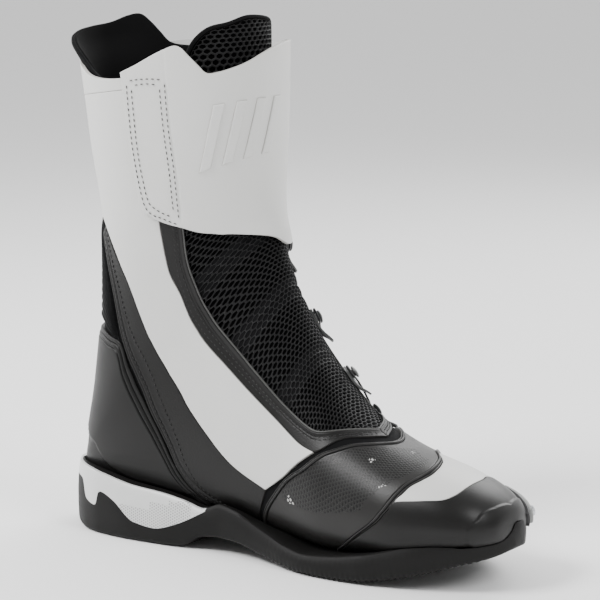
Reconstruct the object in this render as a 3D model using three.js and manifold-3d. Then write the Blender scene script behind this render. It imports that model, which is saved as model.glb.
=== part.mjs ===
// Left motorcycle riding boot with a front closure flap and a reel-tightened lace.
// Millimetres. +X points to the toe, +Z up, -Y is the medial (inner) side.
import * as THREE from "three";
import { mergeVertices } from "three/addons/utils/BufferGeometryUtils.js";
import Module from "manifold-3d";

const wasm = await Module();
wasm.setup();

// ---------------------------------------------------------------- driving dimensions
const ORIGIN = [148.5, 1.97, 0]; // middle of the boot's footprint, in the lasting frame
const PANEL = 1.8; // thickness of an upper panel
const SEAM = 0.55; // each panel stops this far from its seam line
const LINING = [-5.2, -3.1]; // inner and outer face of the lining, from the skin
const COUNTER_PROUD = 2.0; // heel counter above the skin
const OVERLAY_PROUD = 0.5; // vamp overlay and toe cap above the skin
const SOLE_REST = [1.1, 3.0]; // gap from skin to sole seat, forefoot and heel
const INSERT_DEPTH = 5; // thickness of the pale insert in the heel wall
const FLAP = [2.2, 4.0]; // inner and outer face of the closure flap, from the skin
const LACE = 1.3; // lace diameter
const LACE_HEIGHT = 2.9; // lace axis above the skin where it rounds a hook
const HOOK_WIDTH = 8;
const DIAL_PLACE = [0.885, -106]; // reel centre on the skin
const DIAL_RADIUS = 15;
const SLIDER_PLACE = [0.082, -96]; // middle of the toe slider on the skin

// Cross-sections of the skin, the outer face of the main panels, fanned round the instep from
// the tip of the toe (0) to the top of the shaft (1) and on into the collar (1.1).
// Each: place, front x z, back x z, medial and lateral half width, ridge and floor shift in y,
// power of the superellipse, and how much narrower its front is than its back.
const SECTIONS = [
  [0.0, 300, 37, 300, 32, 3, 3, -6, -6, 2.0, 0],
  [0.03, 298, 44, 297, 27, 18, 15, -7, -5, 2.1, 0.1],
  [0.07, 288, 54, 290, 24, 30, 26, -9, -5, 2.3, 0.15],
  [0.13, 267, 63, 272, 19.5, 39, 37, -11, -4, 2.4, 0.2],
  [0.22, 233, 72, 238, 11, 45, 46, -11, -2, 2.4, 0.22],
  [0.32, 199, 88, 197, 7, 45, 49, -8, 0, 2.3, 0.22],
  [0.42, 176, 111, 148, 10, 39, 46, -4, 1, 2.2, 0.22],
  [0.52, 157, 139, 95, 13, 36.5, 39, -1, 0, 2.1, 0.15],
  [0.61, 144, 166, 38, 13, 35, 36, 0, 0, 2.1, 0.1],
  [0.645, 140, 176, 14, 19, 35, 36, 0, 0, 2.1, 0.08],
  [0.68, 137.5, 186, 1.5, 37, 35.5, 36.5, 0, 0, 2.1, 0.05],
  [0.74, 133, 201, 9.5, 84, 36.5, 37.5, 0, 0, 2.1, 0],
  [0.8, 131.5, 214, 16.5, 136, 39.5, 39.5, 0, 0, 2.1, 0],
  [0.87, 131, 235, 18.5, 186, 44.5, 44.5, 0, 0, 2.1, 0],
  [0.94, 131, 264, 12, 236, 49.5, 49.5, 0, 0, 2.1, 0],
  [1.0, 131, 296, 5, 286, 52.5, 52.5, 0, 0, 2.1, 0],
  [1.1, 130, 332, -7, 322, 54.5, 54.5, 0, 0, 2.1, 0],
];

// ---------------------------------------------------------------- the skin
function monotoneSlopes(xs, ys) {
  const rise = xs.slice(1).map((x, i) => (ys[i + 1] - ys[i]) / (x - xs[i]));
  return xs.map((x, i) => {
    if (i === 0) return rise[0];
    if (i === xs.length - 1) return rise[i - 1];
    const [before, after] = [rise[i - 1], rise[i]];
    if (before * after <= 0) return 0;
    const left = xs[i] - xs[i - 1];
    const right = xs[i + 1] - xs[i];
    const [weightBefore, weightAfter] = [2 * right + left, right + 2 * left];
    return (weightBefore + weightAfter) / (weightBefore / before + weightAfter / after);
  });
}

const places = SECTIONS.map((row) => row[0]);
const columns = SECTIONS[0].slice(1).map((_, k) => SECTIONS.map((row) => row[k + 1]));
const slopes = columns.map((column) => monotoneSlopes(places, column));

function sectionAt(u) {
  const place = Math.min(Math.max(u, 0), places.at(-1));
  let i = places.findIndex((p) => p > place) - 1;
  if (i < 0) i = places.length - 2;
  const width = places[i + 1] - places[i];
  const t = (place - places[i]) / width;
  return columns.map((ys, k) => {
    const slope = slopes[k];
    const start = (1 + 2 * t) * (1 - t) ** 2 * ys[i] + t * (1 - t) ** 2 * width * slope[i];
    return start + t * t * (3 - 2 * t) * ys[i + 1] + t * t * (t - 1) * width * slope[i + 1];
  });
}

function skinPoint(u, v) {
  const [fx, fz, bx, bz, medial, lateral, ridge, floor, power, egg] = sectionAt(u);
  const angle = THREE.MathUtils.degToRad(v);
  const round = (value) => Math.sign(value) * Math.abs(value) ** (2 / power);
  const along = round(Math.cos(angle));
  const across = round(Math.sin(angle));
  const width = (across >= 0 ? medial : lateral) * (1 - egg * along);
  return new THREE.Vector3(
    (fx + bx) / 2 + (along * (fx - bx)) / 2,
    (ridge + floor) / 2 + (along * (ridge - floor)) / 2 - width * across,
    (fz + bz) / 2 + (along * (fz - bz)) / 2,
  );
}

function skinNormal(u, v) {
  const stepU = 1e-3;
  const stepV = 0.3;
  const up = skinPoint(Math.min(u + stepU, 1.1), v).sub(skinPoint(Math.max(u - stepU, 0), v));
  const round = skinPoint(u, v + stepV).sub(skinPoint(u, v - stepV));
  return up.cross(round).normalize();
}

// A point of the boot: u along it, v degrees round it from the front ridge by the medial side,
// and its height above the skin.
function skin(u, v, height = 0) {
  const point = skinPoint(u, v);
  return height ? point.addScaledVector(skinNormal(u, v), height) : point;
}

// ---------------------------------------------------------------- solids
function orientedGeometry(points, faces) {
  const geometry = new THREE.BufferGeometry();
  const positions = points.flatMap((p) => [p.x, p.y, p.z]);
  geometry.setAttribute("position", new THREE.Float32BufferAttribute(positions, 3));
  let volume = 0;
  for (const [a, b, c] of faces) {
    volume += points[a].dot(new THREE.Vector3().crossVectors(points[b], points[c]));
  }
  const turned = volume < 0 ? faces.map(([a, b, c]) => [a, c, b]) : faces;
  geometry.setIndex(turned.flat());
  geometry.computeVertexNormals();
  return geometry;
}

// A closed wall from two matching grids of points, an outer face and an inner face.
function wall(outer, inner) {
  const rows = outer.length;
  const cols = outer[0].length;
  const points = [...outer.flat(), ...inner.flat()];
  const at = (i, j, side) => side * rows * cols + i * cols + j;
  const faces = [];
  const quad = (a, b, c, d) => faces.push([a, b, c], [a, c, d]);
  for (let i = 0; i + 1 < rows; i += 1) {
    for (let j = 0; j + 1 < cols; j += 1) {
      quad(at(i, j, 0), at(i + 1, j, 0), at(i + 1, j + 1, 0), at(i, j + 1, 0));
      quad(at(i, j, 1), at(i, j + 1, 1), at(i + 1, j + 1, 1), at(i + 1, j, 1));
    }
    quad(at(i, 0, 0), at(i, 0, 1), at(i + 1, 0, 1), at(i + 1, 0, 0));
    quad(at(i, cols - 1, 0), at(i + 1, cols - 1, 0), at(i + 1, cols - 1, 1), at(i, cols - 1, 1));
  }
  for (let j = 0; j + 1 < cols; j += 1) {
    quad(at(0, j, 0), at(0, j + 1, 0), at(0, j + 1, 1), at(0, j, 1));
    quad(at(rows - 1, j, 0), at(rows - 1, j, 1), at(rows - 1, j + 1, 1), at(rows - 1, j + 1, 0));
  }
  return orientedGeometry(points, faces);
}

// A closed solid through a stack of closed loops, each end closed onto its middle.
function loft(loops) {
  const size = loops[0].length;
  const points = loops.flat();
  const faces = [];
  const at = (i, j) => i * size + (j % size);
  for (let i = 0; i + 1 < loops.length; i += 1) {
    for (let j = 0; j < size; j += 1) {
      faces.push([at(i, j), at(i + 1, j), at(i + 1, j + 1)]);
      faces.push([at(i, j), at(i + 1, j + 1), at(i, j + 1)]);
    }
  }
  for (const end of [0, loops.length - 1]) {
    const middle = new THREE.Vector3();
    loops[end].forEach((p) => middle.addScaledVector(p, 1 / size));
    points.push(middle);
    for (let j = 0; j < size; j += 1) {
      const edge = [at(end, j), at(end, j + 1)];
      if (end !== 0) edge.reverse();
      faces.push([...edge, points.length - 1]);
    }
  }
  return orientedGeometry(points, faces);
}

function toSolid(geometry) {
  const bare = geometry.clone();
  bare.deleteAttribute("normal");
  bare.deleteAttribute("uv");
  const merged = mergeVertices(bare, 1e-4);
  return new wasm.Manifold(
    new wasm.Mesh({
      numProp: 3,
      vertProperties: new Float32Array(merged.attributes.position.array),
      triVerts: new Uint32Array(merged.index.array),
    }),
  );
}

function fromSolid(solid) {
  const mesh = solid.getMesh();
  const geometry = new THREE.BufferGeometry();
  geometry.setAttribute("position", new THREE.BufferAttribute(mesh.vertProperties, 3));
  geometry.setIndex(new THREE.BufferAttribute(mesh.triVerts, 1));
  geometry.computeVertexNormals();
  return geometry;
}

// ---------------------------------------------------------------- sheets on the skin
const REACH = 430; // about how many millimetres one unit of u is
const GIRTH = 0.8; // about how many millimetres one degree of v is

function seamCurve(points) {
  const scaled = points.map(([u, v]) => new THREE.Vector3(u * REACH, v * GIRTH, 0));
  const curve = new THREE.CatmullRomCurve3(scaled, false, "centripetal");
  return (s) => {
    const point = curve.getPoint(s);
    return [point.x / REACH, point.y / GIRTH];
  };
}

const mirrored = (points) => points.map(([u, v]) => [u, -v]);
const bothSides = (points) => {
  const other = mirrored(points).reverse();
  return [...points, ...(points.at(-1)[1] === 0 ? other.slice(1) : other)];
};
// The same for a line that goes round the back of the heel: v runs past 180.
const roundBack = (points) => {
  const other = points.map(([u, v]) => [u, 360 - v]).reverse();
  return [...points, ...other.slice(1)];
};

// A panel between two seam lines that have the same number of points. inner and outer are its
// faces' heights above the skin, as numbers or as functions of u, v and the place across it.
function panel(edgeA, edgeB, { rows, cols, inner = -PANEL, outer = 0, trim = SEAM }) {
  const [a, b] = [seamCurve(edgeA), seamCurve(edgeB)];
  const between = (s, t) => {
    const [p, q] = [a(s), b(s)];
    return [p[0] + (q[0] - p[0]) * t, p[1] + (q[1] - p[1]) * t];
  };
  const height = (face, u, v, t) => (typeof face === "function" ? face(u, v, t) : face);
  let length = 0;
  for (let i = 0; i < rows; i += 1) {
    length += skin(...between(i / rows, 0.5)).distanceTo(skin(...between((i + 1) / rows, 0.5)));
  }
  const faces = [[], []];
  for (let i = 0; i <= rows; i += 1) {
    const end = trim / length;
    const s = end + (1 - 2 * end) * (i / rows);
    const width = skin(...between(s, 0)).distanceTo(skin(...between(s, 1)));
    const side = Math.min(trim / width, 0.3);
    const line = [[], []];
    for (let j = 0; j <= cols; j += 1) {
      const t = side + (1 - 2 * side) * (j / cols);
      const [u, v] = between(s, t);
      line[0].push(skin(u, v, height(outer, u, v, t)));
      line[1].push(skin(u, v, height(inner, u, v, t)));
    }
    faces[0].push(line[0]);
    faces[1].push(line[1]);
  }
  return wall(faces[0], faces[1]);
}

function ring(u, height, count) {
  return Array.from({ length: count }, (_, k) => skin(u, (k / count) * 360, height));
}

// Bends a small flat piece onto the skin: its x runs down the boot, y round it by the front
// from the medial side, and z away from the skin.
function wrapOn(geometry, u, v) {
  const step = 0.01;
  const perU = skin(u + step / 2, v).distanceTo(skin(u - step / 2, v)) / step;
  const perV = skin(u, v + 1).distanceTo(skin(u, v - 1)) / 2;
  const position = geometry.attributes.position;
  for (let i = 0; i < position.count; i += 1) {
    const [x, y, z] = [position.getX(i), position.getY(i), position.getZ(i)];
    const point = skin(u - x / perU, v - y / perV, z);
    position.setXYZ(i, point.x, point.y, point.z);
  }
  return fromSolid(toSolid(geometry));
}

// Stands a turned piece on the skin, its axis (local y) along the skin's normal.
function standOn(geometry, u, v, height) {
  const normal = skinNormal(u, v);
  const turn = new THREE.Quaternion().setFromUnitVectors(new THREE.Vector3(0, 1, 0), normal);
  const place = skin(u, v, height);
  return geometry.applyQuaternion(turn).translate(place.x, place.y, place.z);
}

// ---------------------------------------------------------------- finishes
const finish = (color, roughness, metalness = 0) =>
  new THREE.MeshStandardMaterial({ color, roughness, metalness });
const WHITE_LEATHER = finish(0xe6e6e3, 0.5);
const BLACK_LEATHER = finish(0x2b2a29, 0.55);
const MESH_FABRIC = finish(0x1b1b1c, 0.8);
const STRETCH = finish(0x222223, 0.85);
const LINING_FABRIC = finish(0x1f1f20, 0.9);
const SOLE_RUBBER = finish(0x2d2c2c, 0.75);
const HARD_BLACK = finish(0x262626, 0.4);
const PALE_PLASTIC = finish(0xd4d5d3, 0.45);
const GREY_PLASTIC = finish(0xa9abab, 0.5);
const STEEL = finish(0xb8bcc2, 0.3, 1);
const WIRE = finish(0x1c1c1e, 0.35);

const boot = new THREE.Group();
const shell = new THREE.Group();
shell.position.set(-ORIGIN[0], -ORIGIN[1], -ORIGIN[2]);
boot.add(shell);

function add(name, geometry, material) {
  const mesh = new THREE.Mesh(geometry, material.clone());
  mesh.name = name;
  shell.add(mesh);
}

// ---------------------------------------------------------------- seam lines, medial side
const STRIPE_FRONT = [
  [0.967, 84], [0.935, 84], [0.9, 84], [0.83, 84], [0.768, 80], [0.712, 71.6],
  [0.657, 67.8], [0.6, 68.4], [0.53, 69.3], [0.45, 70.3], [0.39, 71], [0.352, 67],
];
const STRIPE_REAR = [
  [0.967, 180], [0.935, 180], [0.905, 175], [0.864, 134.5], [0.8, 111.2], [0.741, 96.8],
  [0.675, 86.6], [0.636, 86.4], [0.592, 91.6], [0.55, 97.2], [0.49, 105.8], [0.426, 108.6],
];
const FACING_FOOT = [[0.308, 39], [0.277, 19], [0.259, 0]];
const FACING_INNER = [
  [0.967, 70], [0.935, 70], [0.9, 70], [0.825, 70], [0.762, 68.5], [0.702, 63], [0.655, 60],
  [0.59, 60], [0.524, 60], [0.44, 60], [0.395, 58], [0.362, 53], [0.327, 38], [0.295, 18],
  [0.278, 0],
];
const QUARTER_REAR = [
  [0.858, 141], [0.794, 123.5], [0.742, 112], [0.68, 98.5], [0.64, 100.5],
  [0.59, 110], [0.557, 123], [0.52, 140], [0.44, 151],
];
const OVERLAY_REAR = [
  [0.432, 150], [0.43, 136], [0.424, 122], [0.414, 110], [0.396, 94], [0.372, 84],
  [0.338, 64], [0.314, 52], [0.292, 39], [0.262, 20], [0.245, 0],
];
const OVERLAY_FRONT = [
  [0.316, 150], [0.296, 136], [0.272, 122], [0.25, 110], [0.218, 94], [0.204, 84],
  [0.184, 66], [0.174, 54], [0.162, 41], [0.154, 26], [0.158, 4.5],
  [0.172, -8], [0.19, -20], [0.205, -39], [0.215, -54], [0.224, -70],
  [0.234, -86], [0.25, -102], [0.272, -120], [0.296, -136], [0.316, -150],
];
const COUNTER_TOP = [
  [0.515, 144], [0.545, 129], [0.58, 114], [0.61, 106], [0.64, 101], [0.67, 99],
  [0.701, 103.6], [0.733, 110.6], [0.753, 122.5], [0.771, 139], [0.78, 156], [0.785, 180],
];
const COUNTER_FOOT = [
  [0.505, 149], [0.52, 150], [0.545, 150], [0.57, 150], [0.59, 150], [0.605, 151],
  [0.618, 153], [0.628, 156], [0.636, 160], [0.641, 166], [0.645, 172], [0.648, 180],
];

// ---------------------------------------------------------------- upper
function addQuarters() {
  const seam = STRIPE_REAR.slice(3);
  const facingOuter = [...STRIPE_FRONT, ...FACING_FOOT];
  for (const [side, turn] of [["medial", (line) => line], ["lateral", mirrored]]) {
    const stripe = panel(turn(STRIPE_FRONT), turn(STRIPE_REAR), { rows: 18, cols: 8 });
    add(`white_quarter_${side}`, stripe, WHITE_LEATHER);
    const quarter = panel(turn(seam), turn(QUARTER_REAR), { rows: 16, cols: 3 });
    add(`black_quarter_${side}`, quarter, BLACK_LEATHER);
    const facing = panel(turn(facingOuter), turn(FACING_INNER), { rows: 24, cols: 1 });
    add(`eyestay_${side}`, facing, BLACK_LEATHER);
  }
}

function addFront() {
  const meshMedial = [[0.925, 70], ...FACING_INNER.slice(2)];
  const meshLateral = [
    [0.925, -36], [0.9, -36], [0.825, -36], [0.762, -36], [0.702, -35], [0.655, -34], [0.59, -34],
    [0.524, -33], [0.44, -32], [0.395, -31], [0.362, -30], [0.33, -27], [0.3, -18], [0.281, -5],
  ];
  add("front_mesh", panel(meshMedial, meshLateral, { rows: 18, cols: 7 }), MESH_FABRIC);
  const gussetFront = [...meshLateral.slice(0, 11), [0.338, -29]];
  const gussetRear = [[0.925, -70], ...mirrored(FACING_INNER).slice(2, 12), [0.342, -46]];
  add("lace_gusset", panel(gussetFront, gussetRear, { rows: 16, cols: 2 }), STRETCH);
}

function addVamp() {
  const overlay = { rows: 28, cols: 3, outer: OVERLAY_PROUD };
  const vamp = panel(bothSides(OVERLAY_REAR), OVERLAY_FRONT, overlay);
  add("vamp_overlay", vamp, BLACK_LEATHER);
  const toeRear = [[0.196, 76], ...OVERLAY_FRONT.slice(6, 16), [0.2265, -74.5], [0.229, -78]];
  const toeFront = [
    [0.19, 75], [0.15, 68.5], [0.12, 60], [0.106, 46], [0.1, 28], [0.098, 8],
    [0.099, -8], [0.105, -23], [0.109, -42], [0.117, -57], [0.152, -69],
    [0.19, -74.2], [0.221, -77.4],
  ];
  const toe = panel(toeRear, toeFront, { rows: 20, cols: 2 });
  add("toe_panel", toe, WHITE_LEATHER);
  const capRear = [
    ...OVERLAY_FRONT.slice(0, 6), [0.196, 77], ...toeFront.slice(1, 12), [0.229, -79.7],
    ...OVERLAY_FRONT.slice(16),
  ];
  const capFront = capRear.map(([, v]) => [0.014, v]);
  const cap = { rows: 28, cols: 6, outer: OVERLAY_PROUD };
  add("toe_cap", panel(capRear, capFront, cap), BLACK_LEATHER);
}

function addHeel() {
  const cup = { rows: 28, cols: 4, inner: -1.2, outer: COUNTER_PROUD };
  add("heel_counter", panel(roundBack(COUNTER_TOP), roundBack(COUNTER_FOOT), cup), HARD_BLACK);
  const bellowsFoot = [[0.739, 113.6], [0.76, 124.5], [0.779, 140], [0.788, 156.5], [0.793, 180]];
  const bellowsTop = [[0.744, 115], [0.794, 126.5], [0.828, 135.5], [0.864, 152], [0.894, 180]];
  const ribs = 6;
  const ribbed = {
    rows: 18,
    cols: 2 * ribs,
    outer: (u, v, t) => -0.2 + 2.2 * (0.5 - 0.5 * Math.cos(2 * Math.PI * ribs * t)),
  };
  const bellows = panel(roundBack(bellowsFoot), roundBack(bellowsTop), ribbed);
  add("heel_bellows", bellows, STRETCH);
}

// ---------------------------------------------------------------- collar, tongue and lining
function addCollar() {
  const bandFoot = [
    [0.971, 66], [0.971, 84], [0.971, 105], [0.971, 124], [0.971, 146], [0.971, 180],
    [0.971, 215], [0.971, 235], [0.971, 255], [0.971, 275], [0.971, 292],
  ];
  const bandTop = [
    [0.981, 66], [0.981, 84], [0.981, 105], [0.985, 124], [0.996, 146], [0.997, 180],
    [1.0, 215], [1.012, 235], [1.011, 255], [1.0, 275], [0.99, 292],
  ];
  add("cuff_band", panel(bandFoot, bandTop, { rows: 24, cols: 1 }), WHITE_LEATHER);
  const collarTop = [
    [0.972, 84], [0.976, 108], [0.983, 130], [1.012, 146], [1.032, 160], [1.038, 174],
    [1.046, 194], [1.055, 208], [1.056, 218], [1.03, 226], [1.008, 234], [1.0, 255], [0.99, 276],
  ];
  const collarFoot = collarTop.map(([, v]) => [0.85, v]);
  const padded = { rows: 26, cols: 4, inner: -7.6, outer: -3.9 };
  add("rear_collar", panel(collarFoot, collarTop, padded), LINING_FABRIC);
  const tongueTop = [
    [0.99, 60], [1.016, 52], [1.032, 42], [1.038, 28], [1.047, 12], [1.045, -6],
    [1.038, -24], [1.022, -40], [0.99, -52],
  ];
  const tongueFoot = tongueTop.map(([, v]) => [0.85, v]);
  const lean = (rest) => (u) => rest - 4 * THREE.MathUtils.smoothstep(u, 0.86, 0.99);
  const tongue = { rows: 14, cols: 4, inner: lean(-5.8), outer: lean(-3.0) };
  add("tongue", panel(tongueFoot, tongueTop, tongue), MESH_FABRIC);
}

function addLining() {
  const [inner, outer] = LINING;
  const steps = 16;
  const around = 20;
  const [toe, top] = [0.05, 0.84];
  const along = Array.from({ length: steps + 1 }, (_, i) => toe + (top - toe) * (i / steps));
  const outside = along.map((u) => ring(u, outer, around));
  const inside = along.map((u) => ring(u + 0.004, inner, around)).reverse();
  add("bootie_lining", loft([...outside, ...inside]), LINING_FABRIC);
}

// ---------------------------------------------------------------- inside the foot
function addInsoles() {
  const boardEdge = [
    [0.08, 157], [0.14, 157], [0.25, 157], [0.35, 157], [0.45, 157], [0.55, 158], [0.61, 162],
  ];
  const across = (line) => line.map(([u, v]) => [u, 360 - v]);
  const board = { rows: 12, cols: 3, inner: -1.8, outer: -0.2 };
  add("insole_board", panel(boardEdge, across(boardEdge), board), LINING_FABRIC);
  const bedEdge = [
    [0.1, 140], [0.14, 136], [0.25, 134], [0.35, 135], [0.45, 138], [0.55, 141], [0.6, 148],
  ];
  const bed = { rows: 12, cols: 4, inner: -10, outer: -6.2 };
  add("footbed", panel(bedEdge, across(bedEdge), bed), STRETCH);
}

// ---------------------------------------------------------------- sole
// Places along the sole: x, medial y, lateral y, bottom z, top z.
const SOLE = [
  [-5, -3, 3.5, 12, 39], [-4, -9, 9.5, 8, 39], [0, -17, 18, 4, 39], [8, -27, 28, 1.5, 39],
  [20, -35, 36, 0, 38.5], [32, -39, 40, 0, 37], [57, -41.5, 42, 0, 33], [79, -41, 42, 0, 31],
  [95, -40, 42, 1.5, 28], [107, -39.5, 42, 8, 25], [119, -39, 42, 9, 29], [131, -40, 43, 8.5, 27],
  [145, -42, 45, 6, 22], [158, -45, 48, 3.5, 18], [172, -49, 51, 1.5, 14], [187, -52, 54, 0.2, 12],
  [205, -53, 56, 0, 13.5], [222, -53, 56, 1, 16.5], [238, -51, 54, 3.5, 20.5], [252, -49, 49, 7, 25],
  [266, -45, 42, 11, 29.5], [279, -39, 33, 15, 33.5], [290, -31, 22, 18, 35.5], [298, -20, 10, 21, 36],
  [302, -10, 0, 24, 36],
];
const soleX = SOLE.map((row) => row[0]);
const soleCut = (row, inset) => {
  const [x, medial, lateral, bottom, top] = row;
  const middle = (medial + lateral) / 2;
  const half = Math.max((lateral - medial) / 2 - inset, 0.5);
  const edge = 2.5; // rounded lower edge
  const levels = [
    [bottom, Math.max(half - edge, 0.4)],
    [bottom + edge, half],
    [(bottom + top) / 2, half + 0.6],
    [top, half - 0.4],
  ];
  const [medialSide, lateralSide] = [-1, 1].map((side) =>
    levels.map(([z, y]) => new THREE.Vector3(x, middle + side * Math.max(y, 0.3), z)),
  );
  return [...medialSide, ...lateralSide.reverse()];
};

function soleBlock() {
  return toSolid(loft(SOLE.map((row) => soleCut(row, 0))));
}

function lastSolid() {
  const steps = 36;
  const around = 34;
  const [toe, waist, heel] = [0.004, 0.5, 0.77];
  const loops = Array.from({ length: steps + 1 }, (_, i) => {
    const part = (2 * i) / steps;
    const u = part < 1 ? toe + (waist - toe) * part : waist + (heel - waist) * (part - 1);
    const rest = THREE.MathUtils.lerp(...SOLE_REST, THREE.MathUtils.smoothstep(u, 0.42, 0.5));
    return ring(u, rest, around);
  });
  return toSolid(loft(loops));
}

// The heel wall's pale insert: its zone in side view, cut to the outer part of the heel.
function insertZone(grow) {
  const outline = [
    [-12, 31 - grow], [14, 31 - grow], [19, 20 - grow], [29, 17.5 - grow], [32, 26 - grow],
    [46, 21.5 - grow], [58, 12 - grow], [76, 9.5 - grow], [95, 16 - grow], [110 + grow, 24 - grow],
    [110 + grow, 60], [-12, 60],
  ];
  const shape = new THREE.Shape(outline.map(([x, z]) => new THREE.Vector2(x, z)));
  const depth = 120;
  const slab = new THREE.ExtrudeGeometry(shape, { depth, bevelEnabled: false });
  slab.rotateX(Math.PI / 2).translate(0, depth / 2, 0);
  const core = SOLE.filter(([x]) => x >= 0 && x <= 145).map((row) => {
    const [x, medial, lateral] = row;
    return soleCut([x, medial, lateral, -5, 70], INSERT_DEPTH + grow);
  });
  core[0].forEach((p) => p.setX(p.x + grow));
  return toSolid(slab).subtract(toSolid(loft(core)));
}

function addSole() {
  const seat = lastSolid();
  const block = soleBlock().subtract(seat).subtract(toSolid(sliderPlate(23, -1, 9)));
  add("heel_insert", fromSolid(block.intersect(insertZone(0))), PALE_PLASTIC);
  add("outsole", fromSolid(block.subtract(insertZone(0.35))), SOLE_RUBBER);
}

// ---------------------------------------------------------------- closure flap
const FLAP_TOP = [
  [0.986, 94], [0.996, 84], [1.01, 67], [1.006, 60], [0.986, 53], [0.978, 45], [0.982, 28],
  [0.992, 7], [1.002, -8], [1.006, -28], [1.006, -50], [1.0, -74],
];
const FLAP_FOOT = [
  [0.86, 94], [0.836, 84], [0.803, 67], [0.787, 60], [0.772, 53], [0.754, 45], [0.717, 28],
  [0.675, 7], [0.66, -8], [0.706, -28], [0.765, -50], [0.825, -74],
];

function addFlap() {
  const [inner, outer] = FLAP;
  const flap = panel(FLAP_TOP, FLAP_FOOT, { rows: 24, cols: 6, inner, outer, trim: 0 });
  add("closure_flap", flap, WHITE_LEATHER);
  const padEdge = (v) => [[0.968, v], [0.93, v], [0.885, v]];
  const pad = (low, high) => ({ rows: 6, cols: 3, inner: low, outer: high });
  add("flap_hook_pad", panel(padEdge(74), padEdge(91), pad(1.3, 1.85)), STRETCH);
  add("flap_loop_pad", panel(padEdge(70), padEdge(93), pad(0.35, 0.95)), STRETCH);
}

// ---------------------------------------------------------------- lace hooks, lace and reel
const HOOKS = [
  ["lace_hook_1", 0.685, -31],
  ["lace_hook_2", 0.61, -69],
  ["lace_hook_3", 0.535, -31],
  ["lace_hook_4", 0.475, -70],
  ["lace_hook_5", 0.415, -31],
  ["lace_hook_6", 0.378, -62],
];
const HOOK_LENGTH = 21;
const POST = 2.2; // half the post's length down the boot

function hookGeometry() {
  const [plateFoot, plateTop, headFoot, headTop] = [0.35, 1.9, 3.9, 5.4];
  const tail = HOOK_LENGTH - 4;
  const outline = [
    [-4, plateFoot], [1, plateFoot], [6, plateFoot], [11, plateFoot], [tail, 1.5], [tail + 0.6, 3],
    [11, plateTop + 0.2], [6, plateTop], [POST, plateTop], [POST, headFoot], [POST + 1.2, headFoot],
    [POST + 1, headTop], [-POST - 0.6, headTop - 0.3], [-POST - 1, headFoot], [-POST, headFoot],
    [-POST, plateTop], [-4, plateTop],
  ];
  const shape = new THREE.Shape(outline.map(([x, z]) => new THREE.Vector2(x, z)));
  const options = { depth: HOOK_WIDTH, steps: 2, bevelEnabled: false };
  const slab = new THREE.ExtrudeGeometry(shape, options);
  return slab.rotateX(Math.PI / 2).translate(0, HOOK_WIDTH / 2, 0);
}

function addHooks() {
  for (const [name, u, v] of HOOKS) add(name, wrapOn(hookGeometry(), u, v), HARD_BLACK);
}

// The lace runs from the reel under the flap, then from hook to hook, and ends in the last one.
function laceRoute() {
  const clear = 0.75;
  const around = HOOK_WIDTH / 2 + LACE / 2 + clear;
  const beside = POST + LACE / 2 + clear;
  const stops = [[0.879, -89.5, 1.1], [0.86, -80, 1.1], [0.81, -66, 1.15], [0.75, -50, 1.5]];
  for (const [name, u, v] of HOOKS) {
    const side = v > -50 ? 1 : -1;
    const perV = skin(u, v + 1).distanceTo(skin(u, v - 1)) / 2;
    const perU = skin(u + 0.005, v).distanceTo(skin(u - 0.005, v)) / 0.01;
    const turn = [
      [-side * 0.6, -1], [side * 0.75, -1], [side, 0], [side * 0.75, 1], [-side * 0.6, 1],
    ];
    const shown = name === HOOKS.at(-1)[0] ? turn.slice(0, 2) : turn;
    for (const [y, x] of shown) {
      stops.push([u - (x * beside) / perU, v + (y * around) / perV, LACE_HEIGHT]);
    }
  }
  const scaled = stops.map(([u, v, h]) => new THREE.Vector3(u * REACH, v * GIRTH, h));
  const flat = new THREE.CatmullRomCurve3(scaled, false, "centripetal");
  const samples = 90;
  const points = Array.from({ length: samples + 1 }, (_, i) => {
    const p = flat.getPoint(i / samples);
    return skin(p.x / REACH, p.y / GIRTH, p.z);
  });
  return new THREE.CatmullRomCurve3(points, false, "centripetal");
}

function addLace() {
  const shape = new THREE.Shape();
  shape.absarc(0, 0, LACE / 2, 0, Math.PI * 2);
  const options = { steps: 110, curveSegments: 3, extrudePath: laceRoute(), bevelEnabled: false };
  add("lace", fromSolid(toSolid(new THREE.ExtrudeGeometry(shape, options))), WIRE);
}

function turned(profile, segments = 20) {
  return new THREE.LatheGeometry(profile.map(([r, h]) => new THREE.Vector2(r, h)), segments);
}

function addReel() {
  const [u, v] = DIAL_PLACE;
  const r = DIAL_RADIUS;
  const base = [[0, 0], [r, 0], [r, 2.2], [r - 1.6, 3.4], [r - 1.6, 4.4], [0, 4.4], [0, 0]];
  add("reel_base", standOn(turned(base), u, v, 1.0), HARD_BLACK);
  const knob = [[0, 0], [r - 1.2, 0], [r - 0.6, 1], [r - 0.6, 6], [r - 2.2, 7.6], [0, 7.6], [0, 0]];
  add("reel_knob", standOn(turned(knob), u, v, 5.8), HARD_BLACK);
  const badge = [[0, 0], [r - 5, 0], [r - 5.4, 0.8], [0, 0.8], [0, 0]];
  add("reel_cap", standOn(turned(badge), u, v, 13.7), GREY_PLASTIC);
}

// ---------------------------------------------------------------- toe slider
function sliderPlate(half, inner, outer) {
  const [u, v] = SLIDER_PLACE;
  const reach = 0.0024 * half;
  const side = (edge) => [u - reach, u, u + reach].map((place) => [place, v + edge]);
  return panel(side(-half), side(half), { rows: 8, cols: 4, inner, outer });
}

function addSlider() {
  const [u, v] = SLIDER_PLACE;
  add("toe_slider_base", sliderPlate(21, 0.9, 3.4), HARD_BLACK);
  add("toe_slider", sliderPlate(16, 3.75, 6.2), GREY_PLASTIC);
  const head = [[0, 0], [3, 0], [3, 0.9], [2.3, 1.5], [0, 1.5], [0, 0]];
  [-0.022, 0.024].forEach((step, i) => {
    add(`slider_screw_${i + 1}`, standOn(turned(head, 10), u + step, v, 6.6), STEEL);
  });
}

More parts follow.
